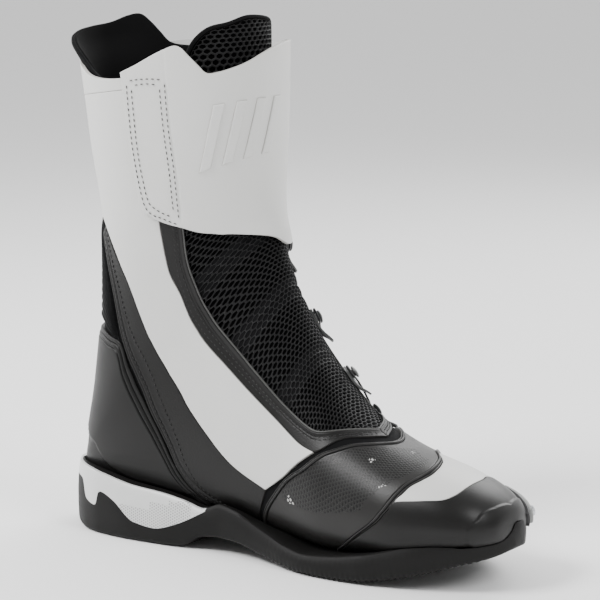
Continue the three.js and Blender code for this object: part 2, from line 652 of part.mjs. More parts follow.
addSole();
addInsoles();
addLining();
addQuarters();
addFront();
addVamp();
addHeel();
addCollar();
addFlap();
addHooks();
addLace();
addReel();
addSlider();

export default boot;
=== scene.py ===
"""Left motorcycle riding boot: its sewn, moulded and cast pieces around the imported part.
Metres. +X points to the toe, +Z up, -Y is the medial (inner) side. Sizes below are in
millimetres unless their name says otherwise."""

import math

import bmesh
import bpy
import numpy as np
from mathutils import Matrix, Vector


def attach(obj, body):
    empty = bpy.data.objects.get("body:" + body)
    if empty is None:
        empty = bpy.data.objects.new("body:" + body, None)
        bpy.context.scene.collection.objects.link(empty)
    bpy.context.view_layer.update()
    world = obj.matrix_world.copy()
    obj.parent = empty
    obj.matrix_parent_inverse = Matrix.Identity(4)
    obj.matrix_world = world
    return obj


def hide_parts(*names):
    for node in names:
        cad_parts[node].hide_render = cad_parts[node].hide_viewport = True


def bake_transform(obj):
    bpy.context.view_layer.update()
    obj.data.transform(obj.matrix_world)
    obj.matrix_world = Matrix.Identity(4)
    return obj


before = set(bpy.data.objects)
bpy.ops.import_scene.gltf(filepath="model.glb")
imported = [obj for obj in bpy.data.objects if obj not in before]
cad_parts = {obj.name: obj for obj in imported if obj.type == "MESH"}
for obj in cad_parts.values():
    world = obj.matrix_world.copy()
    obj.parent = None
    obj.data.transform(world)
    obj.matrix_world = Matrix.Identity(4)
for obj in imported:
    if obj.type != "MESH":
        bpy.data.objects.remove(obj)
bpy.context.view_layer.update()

MM = 0.001
BOOT_MIDDLE = np.array([148.5, 1.97, 0.0])  # middle of the footprint, in the last's own frame
REACH = 430.0  # millimetres of boot per unit of u
GIRTH = 0.8  # millimetres of boot per degree of v


# ---------------------------------------------------------------- camera, floor and lights
def set_camera():
    turn, rise, away = math.radians(33), math.radians(9.3), 1.5
    target = Vector((0.0015, -0.002, 0.150))
    back = Vector((math.sin(turn) * math.cos(rise), -math.cos(turn) * math.cos(rise), math.sin(rise)))
    lens = bpy.data.cameras.new("studio_camera")
    lens.lens, lens.sensor_width = 153.6, 36.0
    lens.shift_x, lens.shift_y = 0.005, -0.0033
    lens.clip_start, lens.clip_end = 0.05, 100
    camera = bpy.data.objects.new("studio_camera", lens)
    camera.location = target + back * away
    camera.rotation_euler = back.to_track_quat("Z", "Y").to_euler()
    bpy.context.scene.collection.objects.link(camera)
    bpy.context.scene.camera = camera


def set_light(name, place, aim, size, watts):
    lamp = bpy.data.lights.new(name, "AREA")
    lamp.shape, lamp.size, lamp.energy = "SQUARE", size, watts
    light = bpy.data.objects.new(name, lamp)
    light.location = place
    light.rotation_euler = (Vector(place) - Vector(aim)).to_track_quat("Z", "Y").to_euler()
    bpy.context.scene.collection.objects.link(light)


def set_studio():
    """A room that is brighter beyond the boot, four softboxes round it, and a white paper floor."""
    beyond, paper_shade, paper_reach, gap_below = (-0.545, 0.839, 0.0), 0.93, 40, 0.0004
    world = bpy.data.worlds.new("studio")
    world.use_nodes = True
    tree = world.node_tree
    sky = tree.nodes["Background"]
    sky.inputs["Color"].default_value = (1.0, 1.0, 1.0, 1.0)
    way = tree.nodes.new("ShaderNodeTexCoord")
    toward = tree.nodes.new("ShaderNodeVectorMath")
    toward.operation = "DOT_PRODUCT"
    toward.inputs[1].default_value = beyond
    spread = tree.nodes.new("ShaderNodeMapRange")
    for label, value in (("From Min", -0.3), ("From Max", 0.6), ("To Min", 0.42), ("To Max", 1.7)):
        spread.inputs[label].default_value = value
    tree.links.new(way.outputs["Generated"], toward.inputs[0])
    tree.links.new(toward.outputs["Value"], spread.inputs["Value"])
    tree.links.new(spread.outputs["Result"], sky.inputs["Strength"])
    bpy.context.scene.world = world
    middle = (0.0, 0.0, 0.14)
    set_light("key_softbox", (-0.7, -1.1, 1.5), middle, 0.7, 42)
    set_light("toe_softbox", (1.4, -0.3, 1.2), middle, 0.7, 17)
    set_light("heel_strip", (-1.3, -0.1, 0.6), middle, 0.6, 8)
    set_light("far_softbox", (0.1, 1.4, 1.1), middle, 1.0, 16)
    paper = bpy.data.materials.new("studio_paper")
    paper.use_nodes = True
    shader = paper.node_tree.nodes["Principled BSDF"]
    shader.inputs["Base Color"].default_value = (paper_shade, paper_shade, paper_shade, 1)
    shader.inputs["Roughness"].default_value = 0.9
    bm = bmesh.new()
    bmesh.ops.create_grid(bm, x_segments=1, y_segments=1, size=paper_reach)
    mesh = bpy.data.meshes.new("studio_floor")
    bm.to_mesh(mesh)
    bm.free()
    floor = bpy.data.objects.new("studio_floor", mesh)
    floor.location.z = -gap_below
    mesh.materials.append(paper)
    bpy.context.scene.collection.objects.link(floor)


set_camera()
set_studio()

# ---------------------------------------------------------------- the last: the boot's skin
# Sections from the tip of the toe (0) to the shaft's top (1) and on into the collar (1.1):
# place, front x z, back x z, medial and lateral half width, ridge and floor shift in y,
# fullness, and how much narrower the front is than the back.
LAST = np.array([
    [0.0, 300, 37, 300, 32, 3, 3, -6, -6, 2.0, 0],
    [0.03, 298, 44, 297, 27, 18, 15, -7, -5, 2.1, 0.1],
    [0.07, 288, 54, 290, 24, 30, 26, -9, -5, 2.3, 0.15],
    [0.13, 267, 63, 272, 19.5, 39, 37, -11, -4, 2.4, 0.2],
    [0.22, 233, 72, 238, 11, 45, 46, -11, -2, 2.4, 0.22],
    [0.32, 199, 88, 197, 7, 45, 49, -8, 0, 2.3, 0.22],
    [0.42, 176, 111, 148, 10, 39, 46, -4, 1, 2.2, 0.22],
    [0.52, 157, 139, 95, 13, 36.5, 39, -1, 0, 2.1, 0.15],
    [0.61, 144, 166, 38, 13, 35, 36, 0, 0, 2.1, 0.1],
    [0.645, 140, 176, 14, 19, 35, 36, 0, 0, 2.1, 0.08],
    [0.68, 137.5, 186, 1.5, 37, 35.5, 36.5, 0, 0, 2.1, 0.05],
    [0.74, 133, 201, 9.5, 84, 36.5, 37.5, 0, 0, 2.1, 0],
    [0.8, 131.5, 214, 16.5, 136, 39.5, 39.5, 0, 0, 2.1, 0],
    [0.87, 131, 235, 18.5, 186, 44.5, 44.5, 0, 0, 2.1, 0],
    [0.94, 131, 264, 12, 236, 49.5, 49.5, 0, 0, 2.1, 0],
    [1.0, 131, 296, 5, 286, 52.5, 52.5, 0, 0, 2.1, 0],
    [1.1, 130, 332, -7, 322, 54.5, 54.5, 0, 0, 2.1, 0],
])


def fair_slopes(places, values):
    """Slopes of a smooth line through the sections that never overshoots between them."""
    rise = np.diff(values) / np.diff(places)
    slopes = np.concatenate([rise[:1], np.zeros(len(places) - 2), rise[-1:]])
    for i in range(1, len(places) - 1):
        before, after = rise[i - 1], rise[i]
        if before * after > 0:
            left, right = places[i] - places[i - 1], places[i + 1] - places[i]
            lean_before, lean_after = 2 * right + left, right + 2 * left
            slopes[i] = (lean_before + lean_after) / (lean_before / before + lean_after / after)
    return slopes


def slopes_of(table):
    return np.stack([fair_slopes(table[:, 0], table[:, k]) for k in range(1, table.shape[1])], axis=1)


def table_at(table, slopes, place):
    """The columns of a table of sections, smoothly carried on between its rows."""
    places = table[:, 0]
    i = np.clip(np.searchsorted(places, place, side="right") - 1, 0, len(places) - 2)
    width = (places[i + 1] - places[i])[..., None]
    t = (place - places[i])[..., None] / width
    value = (1 + 2 * t) * (1 - t) ** 2 * table[i, 1:] + t * (1 - t) ** 2 * width * slopes[i]
    value = value + t * t * (3 - 2 * t) * table[i + 1, 1:] + t * t * (t - 1) * width * slopes[i + 1]
    return np.moveaxis(value, -1, 0)


LAST_SLOPES = slopes_of(LAST)


def bare_skin(u, v):
    """Points of the skin in the last's own frame, in millimetres."""
    section = table_at(LAST, LAST_SLOPES, np.clip(u, 0, LAST[-1, 0]))
    front_x, front_z, back_x, back_z, medial, lateral, ridge, floor, power, egg = section
    angle = np.radians(v)
    along = np.sign(np.cos(angle)) * np.abs(np.cos(angle)) ** (2 / power)
    across = np.sign(np.sin(angle)) * np.abs(np.sin(angle)) ** (2 / power)
    width = np.where(across >= 0, medial, lateral) * (1 - egg * along)
    return np.stack([
        (front_x + back_x) / 2 + along * (front_x - back_x) / 2,
        (ridge + floor) / 2 + along * (ridge - floor) / 2 - width * across,
        (front_z + back_z) / 2 + along * (front_z - back_z) / 2,
    ], axis=-1)


def unit(vectors):
    return vectors / np.maximum(np.linalg.norm(vectors, axis=-1, keepdims=True), 1e-12)


def skin_normal(u, v):
    up = bare_skin(np.minimum(u + 1e-3, 1.1), v) - bare_skin(np.maximum(u - 1e-3, 0), v)
    around = bare_skin(u, v + 0.3) - bare_skin(u, v - 0.3)
    return unit(np.cross(up, around))


def skin(u, v, height=0.0):
    """Points in metres: u along the boot, v degrees round it from the front ridge by the medial
    side, and a height above the skin in millimetres."""
    u, v, height = np.broadcast_arrays(*(np.asarray(a, float) for a in (u, v, height)))
    return (bare_skin(u, v) + skin_normal(u, v) * height[..., None] - BOOT_MIDDLE) * MM


# ---------------------------------------------------------------- seam lines
def curve_through(points):
    """A smooth curve through control points, as a function of 0..1."""
    knots = np.array(points, float)
    knots = np.vstack([2 * knots[0] - knots[1], knots, 2 * knots[-1] - knots[-2]])

    def at(t):
        t = np.asarray(t, float) * (len(points) - 1)
        i = np.clip(t.astype(int), 0, len(points) - 2)
        w = (t - i)[..., None]
        p0, p1, p2, p3 = (knots[i + k] for k in range(4))
        gap = [np.maximum(np.linalg.norm(b - a, axis=-1, keepdims=True) ** 0.5, 1e-4)
               for a, b in ((p0, p1), (p1, p2), (p2, p3))]
        leave = (p1 - p0) / gap[0] - (p2 - p0) / (gap[0] + gap[1]) + (p2 - p1) / gap[1]
        arrive = (p2 - p1) / gap[1] - (p3 - p1) / (gap[1] + gap[2]) + (p3 - p2) / gap[2]
        leave, arrive = leave * gap[1], arrive * gap[1]
        bend = -3 * p1 + 3 * p2 - 2 * leave - arrive
        twist = 2 * p1 - 2 * p2 + leave + arrive
        return p1 + leave * w + bend * w ** 2 + twist * w ** 3

    return at


def seam(points):
    scaled = curve_through([(u * REACH, v * GIRTH) for u, v in points])
    return lambda t: scaled(t) / (REACH, GIRTH)


def mirrored(points):
    return [(u, -v) for u, v in points]


def both_sides(points):
    """A medial line carried on over the front ridge to the lateral side."""
    other = mirrored(points)[::-1]
    return points + (other[1:] if points[-1][1] == 0 else other)


def round_back(points):
    """A medial line carried on round the back of the heel to the lateral side."""
    return points + [(u, 360 - v) for u, v in points][::-1][1:]


def evenly(line, steps, height=0.0, offset=0.0):
    """Places (u, v) at even steps along a seam, moved sideways by offset millimetres."""
    t = np.linspace(0, 1, 400)
    flat = line(t) * (REACH, GIRTH)
    run = unit(np.gradient(flat, axis=0))
    flat = flat + offset * np.stack([-run[:, 1], run[:, 0]], axis=-1)
    place = flat / (REACH, GIRTH)
    gap = np.linalg.norm(np.diff(skin(place[:, 0], place[:, 1], height), axis=0), axis=-1) / MM
    reached = np.concatenate([[0], np.cumsum(gap)])
    count = steps(reached[-1])
    wanted = np.linspace(0, reached[-1], count)
    return np.stack([np.interp(wanted, reached, place[:, k]) for k in (0, 1)], axis=-1)


# ---------------------------------------------------------------- making pieces
def smoothstep(low, high, value):
    t = np.clip((value - low) / (high - low), 0, 1)
    return t * t * (3 - 2 * t)


def to_piece(name, bm, material, sharp=48):
    bmesh.ops.recalc_face_normals(bm, faces=bm.faces[:])
    mesh = bpy.data.meshes.new(name)
    bm.to_mesh(mesh)
    bm.free()
    mesh.shade_smooth()
    mesh.set_sharp_from_angle(angle=math.radians(sharp))
    mesh.materials.append(material)
    piece = bpy.data.objects.new(name, mesh)
    bpy.context.scene.collection.objects.link(piece)
    return piece


def bend_at_ankle(piece):
    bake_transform(piece)


def grid_of(bm, rows, columns):
    """A grid and each vertex's row and column."""
    made = bmesh.ops.create_grid(bm, x_segments=columns, y_segments=rows, size=1)["verts"]
    place = np.array([v.co[:2] for v in made])
    index = np.rint((place + 1) / 2 * (columns, rows)).astype(int)
    return made, index[:, 1], index[:, 0]


def lay_pattern(bm, uv, places):
    """Gives every corner of the faces the pattern place of its vertex."""
    for face in bm.faces:
        for loop in face.loops:
            loop[uv].uv = places[loop.vert]


def doubled(bm, faces):
    """The vertices of a second layer under some faces, joined to the first by walls."""
    grown = bmesh.ops.extrude_face_region(bm, geom=faces, use_keep_orig=True)["geom"]
    return [item for item in grown if isinstance(item, bmesh.types.BMVert)]


def rounded_rim(radius):
    """Distances from an edge at which a rim rounded to a quarter circle has its rows."""
    return radius * (1 - np.cos(np.radians([0, 30, 60, 90])))


def rim_drop(distance, radius):
    inside = np.clip(distance / max(radius, 1e-6), 0, 1)
    return radius * (1 - np.sqrt(np.clip(1 - (1 - inside) ** 2, 0, 1)))


def panel(name, edge_a, edge_b, material, top=0.0, under=-1.7, along=60, across=10, rim=0.5,
          trim=0.25, fine=(), relief=None, mark=None):
    """A sewn or moulded panel between two seam lines with the same number of control points.
    It reaches from height under to height top, stops trim short of its seams and has edges
    rounded by rim. fine lists extra rows, as distances in from both seams; relief adds height;
    mark tells where a finish that prints or punches works."""
    a, b = seam(edge_a), seam(edge_b)
    t = np.linspace(0, 1, 300)
    middle = (a(t) + b(t)) / 2
    gap = np.linalg.norm(np.diff(skin(middle[:, 0], middle[:, 1]), axis=0), axis=-1) / MM
    reached = np.concatenate([[0], np.cumsum(gap)])
    length = reached[-1]
    near = np.unique(np.concatenate([rounded_rim(rim), np.array(fine, float)]))
    end_near = rounded_rim(rim)
    reach_in = length / 2 - trim
    start = end_near[end_near < reach_in]
    run = np.concatenate([start[:-1], np.linspace(start[-1], length - 2 * trim - start[-1], along),
                          (length - 2 * trim - start[:-1])[::-1]])
    s = np.interp(run + trim, reached, t)
    pa, pb = a(s), b(s)
    steps = np.linspace(0, 1, 13)[:, None, None]
    way = pa[None] + (pb - pa)[None] * steps
    width = np.linalg.norm(np.diff(skin(way[..., 0], way[..., 1]), axis=0), axis=-1).sum(0) / MM
    clear = np.maximum(width - 2 * trim, 0.2)
    squeeze = np.minimum(1, 0.45 * clear / max(near[-1], 1e-6))
    side = near[:, None] * squeeze
    body = side[-1] + (clear - 2 * side[-1]) * np.linspace(0, 1, across)[:, None]
    deep = np.vstack([side[:-1], body, (clear - side[:-1])[::-1]])
    from_a, from_b = deep, clear - deep
    from_end = np.minimum(run, run[-1] - run)
    weight = (deep + trim) / np.maximum(width, 1e-6)
    u = pa[:, 0] + (pb[:, 0] - pa[:, 0]) * weight
    v = pa[:, 1] + (pb[:, 1] - pa[:, 1]) * weight
    edge = np.minimum(np.minimum(from_a, from_b), from_end[None])
    level = top(u, v) if callable(top) else np.full_like(u, top)
    floor = under(u, v) if callable(under) else np.full_like(u, under)
    high = level - rim_drop(edge, rim)
    if relief:
        high = high + relief(u, v, from_a, from_b, np.broadcast_to(run, u.shape), length)
    bm = bmesh.new()
    uv = bm.loops.layers.uv.new("pattern")
    edge_layer = bm.verts.layers.float.new("edge")
    mark_layer = bm.verts.layers.float.new("mark")
    inner_layer = bm.verts.layers.float_vector.new("inner")
    made, row, column = grid_of(bm, len(deep) - 1, len(run) - 1)
    outer, inner = skin(u, v, high), skin(u, v, floor)
    marks = mark(u, v) if mark else np.zeros_like(u)
    places = {}
    for vert, i, j in zip(made, row, column):
        vert.co = outer[i, j]
        vert[edge_layer] = edge[i, j]
        vert[mark_layer] = marks[i, j]
        vert[inner_layer] = Vector(inner[i, j])
        places[vert] = (u[i, j] * REACH * MM, v[i, j] * GIRTH * MM)
    lay_pattern(bm, uv, places)
    for vert in doubled(bm, bm.faces[:]):
        vert.co = vert[inner_layer]
    bm.verts.layers.float_vector.remove(inner_layer)
    return to_piece(name, bm, material)


def cord_along(name, path, radius, material, up, sides=8):
    """A cord or piping along a path in metres; up is the skin's normal at each point."""
    run = unit(np.gradient(path, axis=0))
    side = unit(np.cross(run, up))
    rise = np.cross(side, run)
    bm = bmesh.new()
    uv = bm.loops.layers.uv.new("pattern")
    made, row, column = grid_of(bm, sides, len(path) - 1)
    angle = 2 * np.pi * row / sides
    ring = side[column] * np.cos(angle)[:, None] + rise[column] * np.sin(angle)[:, None]
    spots = path[column] + ring * radius * MM
    gap = np.concatenate([[0], np.cumsum(np.linalg.norm(np.diff(path, axis=0), axis=-1))])
    places = {}
    for vert, spot, i, j in zip(made, spots, row, column):
        vert.co = spot
        places[vert] = (gap[j], 2 * math.pi * radius * MM * i / sides)
    lay_pattern(bm, uv, places)
    bmesh.ops.remove_doubles(bm, verts=bm.verts[:], dist=1e-6)
    bmesh.ops.holes_fill(bm, edges=[e for e in bm.edges if e.is_boundary], sides=0)
    return to_piece(name, bm, material, sharp=70)


PIPING_STEP, STITCH_PITCH = 1.6, 3.1


def piping(name, line, radius, material, height=0.0, offset=0.0):
    places = evenly(line, lambda length: int(length / PIPING_STEP) + 2, height, offset)
    u, v = places[:, 0], places[:, 1]
    return cord_along(name, skin(u, v, height), radius, material, skin_normal(u, v))


def stitched(name, seams, material, thick=0.32):
    """Rows of sewing thread: each seam is a line, its offset, its height and a stitch length."""
    bm = bmesh.new()
    for line, offset, height, length in seams:
        places = evenly(line, lambda run: max(int(run / STITCH_PITCH), 2), height, offset)
        u, v = places[:, 0], places[:, 1]
        spots = skin(u, v, height)
        run, up = unit(np.gradient(spots, axis=0)), skin_normal(u, v)
        side = unit(np.cross(up, run))
        for spot, x, y, z in zip(spots[1:-1], run[1:-1], side[1:-1], up[1:-1]):
            size = (length / 2 * MM, thick * MM, thick * 0.8 * MM)
            turn = Matrix([[*(a * b for a, b in zip(row, size)), at]
                           for row, at in zip(zip(x, y, z), spot)] + [[0, 0, 0, 1]])
            bmesh.ops.create_icosphere(bm, subdivisions=1, radius=1, matrix=turn)
    return to_piece(name, bm, material, sharp=180)


def inside_outline(points, outline):
    """Whether each flat point is inside a closed outline."""
    result = np.zeros(len(points), bool)
    for (x0, y0), (x1, y1) in zip(outline, np.roll(outline, -1, axis=0)):
        crosses = (y0 > points[:, 1]) != (y1 > points[:, 1])
        slope = (x1 - x0) / (y1 - y0 if y1 != y0 else 1e-12)
        result ^= crosses & (points[:, 0] < x0 + slope * (points[:, 1] - y0))
    return result


def nearest_on(points, outline):
    """The nearest place on a closed outline to each flat point, and how far it is."""
    best = np.full(len(points), 1e9)
    place = points.copy()
    for start, stop in zip(outline, np.roll(outline, -1, axis=0)):
        run = stop - start
        t = np.clip((points - start) @ run / max(run @ run, 1e-12), 0, 1)
        spot = start + t[:, None] * run
        far = np.linalg.norm(points - spot, axis=1)
        near = far < best
        best[near], place[near] = far[near], spot[near]
    return place, best


CELL_RIB, CELL_FLOOR = 0.21, 0.3


def honeycomb(name, outline, material, top, depth=1.0, wide=4.5, tall=4.0, lean=None, darts=()):
    """Spacer mesh: hexagonal cells with raised ribs and sunk dark middles. darts are gathers
    across it, each a place u and a drop."""
    outline = np.array(outline, float) * (REACH, GIRTH)
    low, high = outline.min(0), outline.max(0)
    pitch = tall * 0.75
    bm = bmesh.new()
    rows = int((high[0] - low[0]) / pitch) + 2
    columns = int((high[1] - low[1]) / wide) + 2
    centres = np.array([(low[0] + i * pitch, low[1] + (j + 0.5 * (i % 2)) * wide)
                        for i in range(rows) for j in range(columns)])
    far = nearest_on(centres, outline)[1]
    kept = inside_outline(centres, outline) | (far < 1.5)
    for along, around in centres[kept]:
        size = Matrix.Diagonal((wide / math.sqrt(3), tall / 2, 1, 1))
        bmesh.ops.create_circle(bm, segments=6, radius=1, cap_ends=True,
                                matrix=Matrix.Translation((around, along, 0)) @ size)
    bmesh.ops.remove_doubles(bm, verts=bm.verts[:], dist=0.15)
    flat = np.array([(v.co.y, v.co.x) for v in bm.verts])
    outside = ~inside_outline(flat, outline)
    held, _ = nearest_on(flat, outline)
    for vert, out, spot in zip(bm.verts, outside, held):
        if out:
            vert.co.y, vert.co.x = spot
    bmesh.ops.dissolve_degenerate(bm, edges=bm.edges[:], dist=0.1)
    slivers = [f for f in bm.faces if f.calc_area() < 0.8]
    bmesh.ops.delete(bm, geom=slivers, context="FACES")
    bmesh.ops.recalc_face_normals(bm, faces=bm.faces[:])
    if sum(f.normal.z for f in bm.faces) < 0:
        bmesh.ops.reverse_faces(bm, faces=bm.faces[:])
    whole = max(f.calc_area() for f in bm.faces)
    full = [f for f in bm.faces if f.calc_area() > 0.8 * whole]
    part = [[f] for f in bm.faces if f.calc_area() <= 0.8 * whole]
    for cells in [full] + part:
        scale = 1 if cells is full else 0.55 * math.sqrt(cells[0].calc_area() / whole)
        for wide_step, deep_step in ((1.0, 0.0), (0.9, 0.75), (1.0, 0.25)):
            bmesh.ops.inset_individual(bm, faces=cells, thickness=CELL_RIB * wide_step * scale,
                                       depth=-depth * deep_step, use_even_offset=cells is full)
        for face in cells:
            face.material_index = 1
    for vert in doubled(bm, bm.faces[:]):
        vert.co.z = -depth - CELL_FLOOR
        for face in vert.link_faces:
            face.material_index = 1
    uv = bm.loops.layers.uv.new("pattern")
    lay_pattern(bm, uv, {vert: (vert.co.y * MM, vert.co.x * MM) for vert in bm.verts})
    spots = np.array([tuple(v.co) for v in bm.verts])
    u, v, h = spots[:, 1] / REACH, spots[:, 0] / GIRTH, spots[:, 2] + top
    for place, drop in darts:
        h = h - drop * np.exp(-(((u - place) * REACH) / 3.0) ** 2)
    if lean:
        h = h + lean(u)
    for vert, spot in zip(bm.verts, skin(u, v, h)):
        vert.co = spot
    mesh = to_piece(name, bm, material, sharp=75)
    mesh.data.materials.append(MESH_FLOOR)
    return mesh


def turned(name, profile, u, v, height, material, steps=64, knurl=None):
    """A turned piece: a profile of (radius, height) spun about the skin's normal at u, v. knurl
    is a number of grips, their depth and the heights between which they are cut."""
    bm = bmesh.new()
    verts = [bm.verts.new((r * MM, 0, h * MM)) for r, h in profile]
    edges = [bm.edges.new(pair) for pair in zip(verts, verts[1:])]
    bmesh.ops.spin(bm, geom=verts + edges, cent=(0, 0, 0), axis=(0, 0, 1), angle=2 * math.pi,
                   steps=steps, use_merge=True)
    bmesh.ops.remove_doubles(bm, verts=bm.verts[:], dist=1e-6)
    if knurl:
        count, depth, low, high = knurl
        for vert in bm.verts:
            if low * MM < vert.co.z < high * MM:
                angle = math.atan2(vert.co.y, vert.co.x)
                grip = 1 - depth / profile[1][0] * (0.5 - 0.5 * math.cos(count * angle))
                vert.co.x, vert.co.y = vert.co.x * grip, vert.co.y * grip
    place = Vector(skin(u, v, height))
    turn = Vector((0, 0, 1)).rotation_difference(Vector(skin_normal(u, v))).to_matrix().to_4x4()
    bmesh.ops.transform(bm, matrix=Matrix.Translation(place) @ turn, verts=bm.verts[:])
    return to_piece(name, bm, material, sharp=35)


# ---------------------------------------------------------------- finishes
def put(tree, kind, **values):
    node = tree.nodes.new(kind)
    for key, value in values.items():
        if hasattr(node, key):
            setattr(node, key, value)
        else:
            node.inputs[key.replace("_", " ")].default_value = value
    return node


def group_of(name, inputs, outputs):
    tree = bpy.data.node_groups.new(name, "ShaderNodeTree")
    for label, kind, value in inputs:
        socket = tree.interface.new_socket(label, in_out="INPUT", socket_type=kind)
        if value is not None:
            socket.default_value = value
    for label, kind in outputs:
        tree.interface.new_socket(label, in_out="OUTPUT", socket_type=kind)
    return tree, tree.nodes.new("NodeGroupInput"), tree.nodes.new("NodeGroupOutput")


def maths(tree, operation, first, second=None, third=None):
    node = tree.nodes.new("ShaderNodeMath")
    node.operation = operation
    for socket, value in zip(node.inputs, (first, second, third)):
        if isinstance(value, (int, float)):
            socket.default_value = value
        elif value is not None:
            tree.links.new(value, socket)
    return node.outputs[0]


FLOAT, VECTOR = "NodeSocketFloat", "NodeSocketVector"


def grain_group():
    """Pebbled grain of a given number of pebbles per metre, and a slow change of shade."""
    tree, come, go = group_of("leather_grain", [("Place", VECTOR, None), ("Pebbles", FLOAT, 900.0)],
                              [("Height", FLOAT), ("Shade", FLOAT)])
    pebble = put(tree, "ShaderNodeTexVoronoi", feature="F1")
    tree.links.new(come.outputs["Place"], pebble.inputs["Vector"])
    tree.links.new(come.outputs["Pebbles"], pebble.inputs["Scale"])
    pores = put(tree, "ShaderNodeTexNoise", Detail=3.0)
    tree.links.new(come.outputs["Place"], pores.inputs["Vector"])
    tree.links.new(maths(tree, "MULTIPLY", come.outputs["Pebbles"], 0.45), pores.inputs["Scale"])
    crown = maths(tree, "SUBTRACT", 1.0, pebble.outputs["Distance"])
    tree.links.new(maths(tree, "MULTIPLY_ADD", pores.outputs["Fac"], 0.8, crown), go.inputs["Height"])
    cloud = put(tree, "ShaderNodeTexNoise", Scale=28.0, Detail=4.0, Roughness=0.6)
    tree.links.new(come.outputs["Place"], cloud.inputs["Vector"])
    tree.links.new(cloud.outputs["Fac"], go.inputs["Shade"])
    return tree


def edge_wear_and_shade_group():
    """How much a place takes the edge colour, from its distance in millimetres to the piece's edge: wear
    on black pieces, and painted shade with some dirt on white leather.
    """
    tree, come, go = group_of("edge_wear_and_shade", [("Place", VECTOR, None), ("Distance", FLOAT, 10.0),
                                           ("Reach", FLOAT, 1.0)], [("Mask", FLOAT)])
    uneven = put(tree, "ShaderNodeTexNoise", Scale=160.0, Detail=3.0)
    tree.links.new(come.outputs["Place"], uneven.inputs["Vector"])
    wide = maths(tree, "MULTIPLY", uneven.outputs["Fac"], come.outputs["Reach"])
    near = maths(tree, "DIVIDE", come.outputs["Distance"], maths(tree, "MAXIMUM", wide, 0.01))
    tree.links.new(maths(tree, "SUBTRACT", 1.0, maths(tree, "MINIMUM", near, 1.0)), go.inputs["Mask"])
    return tree


def weave_group():
    """Crossing threads, so many per metre of the piece's own pattern map."""
    tree, come, go = group_of("cloth_weave", [("Place", VECTOR, None), ("Threads", FLOAT, 900.0)],
                              [("Height", FLOAT)])
    split = put(tree, "ShaderNodeSeparateXYZ")
    tree.links.new(come.outputs["Place"], split.inputs[0])
    turn = maths(tree, "MULTIPLY", come.outputs["Threads"], 2 * math.pi)
    waves = [maths(tree, "SINE", maths(tree, "MULTIPLY", split.outputs[k], turn)) for k in (0, 1)]
    over = maths(tree, "MULTIPLY", waves[0], waves[1])
    tree.links.new(maths(tree, "MULTIPLY_ADD", over, 0.5, 0.5), go.inputs["Height"])
    return tree


def punch_group():
    """Round punched holes in staggered rows; Pitch and Radius in metres."""
    tree, come, go = group_of("punched_holes", [("Place", VECTOR, None), ("Pitch", FLOAT, 0.0025),
                                                ("Radius", FLOAT, 0.0006)], [("Hole", FLOAT)])
    split = put(tree, "ShaderNodeSeparateXYZ")
    tree.links.new(come.outputs["Place"], split.inputs[0])
    rise = maths(tree, "MULTIPLY", come.outputs["Pitch"], math.sqrt(3))
    gaps = []
    for shift in (0.0, 0.5):
        parts = []
        for axis, period in ((0, rise), (1, come.outputs["Pitch"])):
            turns = maths(tree, "ADD", maths(tree, "DIVIDE", split.outputs[axis], period), shift + 400)
            off = maths(tree, "SUBTRACT", maths(tree, "FRACT", turns), 0.5)
            length = maths(tree, "MULTIPLY", off, period)
            parts.append(maths(tree, "MULTIPLY", length, length))
        gaps.append(maths(tree, "SQRT", maths(tree, "ADD", *parts)))
    near = maths(tree, "MINIMUM", *gaps)
    step = maths(tree, "SUBTRACT", come.outputs["Radius"], near)
    sharp = maths(tree, "MULTIPLY_ADD", step, 6000.0, 0.5)
    tree.links.new(maths(tree, "MINIMUM", maths(tree, "MAXIMUM", sharp, 0.0), 1.0), go.inputs["Hole"])
    return tree


GRAIN, EDGE_WEAR_AND_SHADE, WEAVE, PUNCH = grain_group(), edge_wear_and_shade_group(), weave_group(), punch_group()


def use(tree, group):
    node = tree.nodes.new("ShaderNodeGroup")
    node.node_tree = group
    return node


def mixed(tree, factor, first, second):
    node = tree.nodes.new("ShaderNodeMix")
    node.data_type = "RGBA"
    sockets = (node.inputs["Factor"], node.inputs[6], node.inputs[7])
    for socket, value in zip(sockets, (factor, first, second)):
        if isinstance(value, tuple):
            socket.default_value = (*value, 1)
        elif isinstance(value, (int, float)):
            socket.default_value = value
        else:
            tree.links.new(value, socket)
    return node.outputs[2]


UNEVEN = 0.1  # how far the roughness strays to each side
# Painted shade laid along creases, and the grey of painted glints of light in punched holes.
CREASE_SHADE_BLACK, PAINTED_GLINT_GREY = (0.0015, 0.0015, 0.0015), (0.4, 0.4, 0.39)


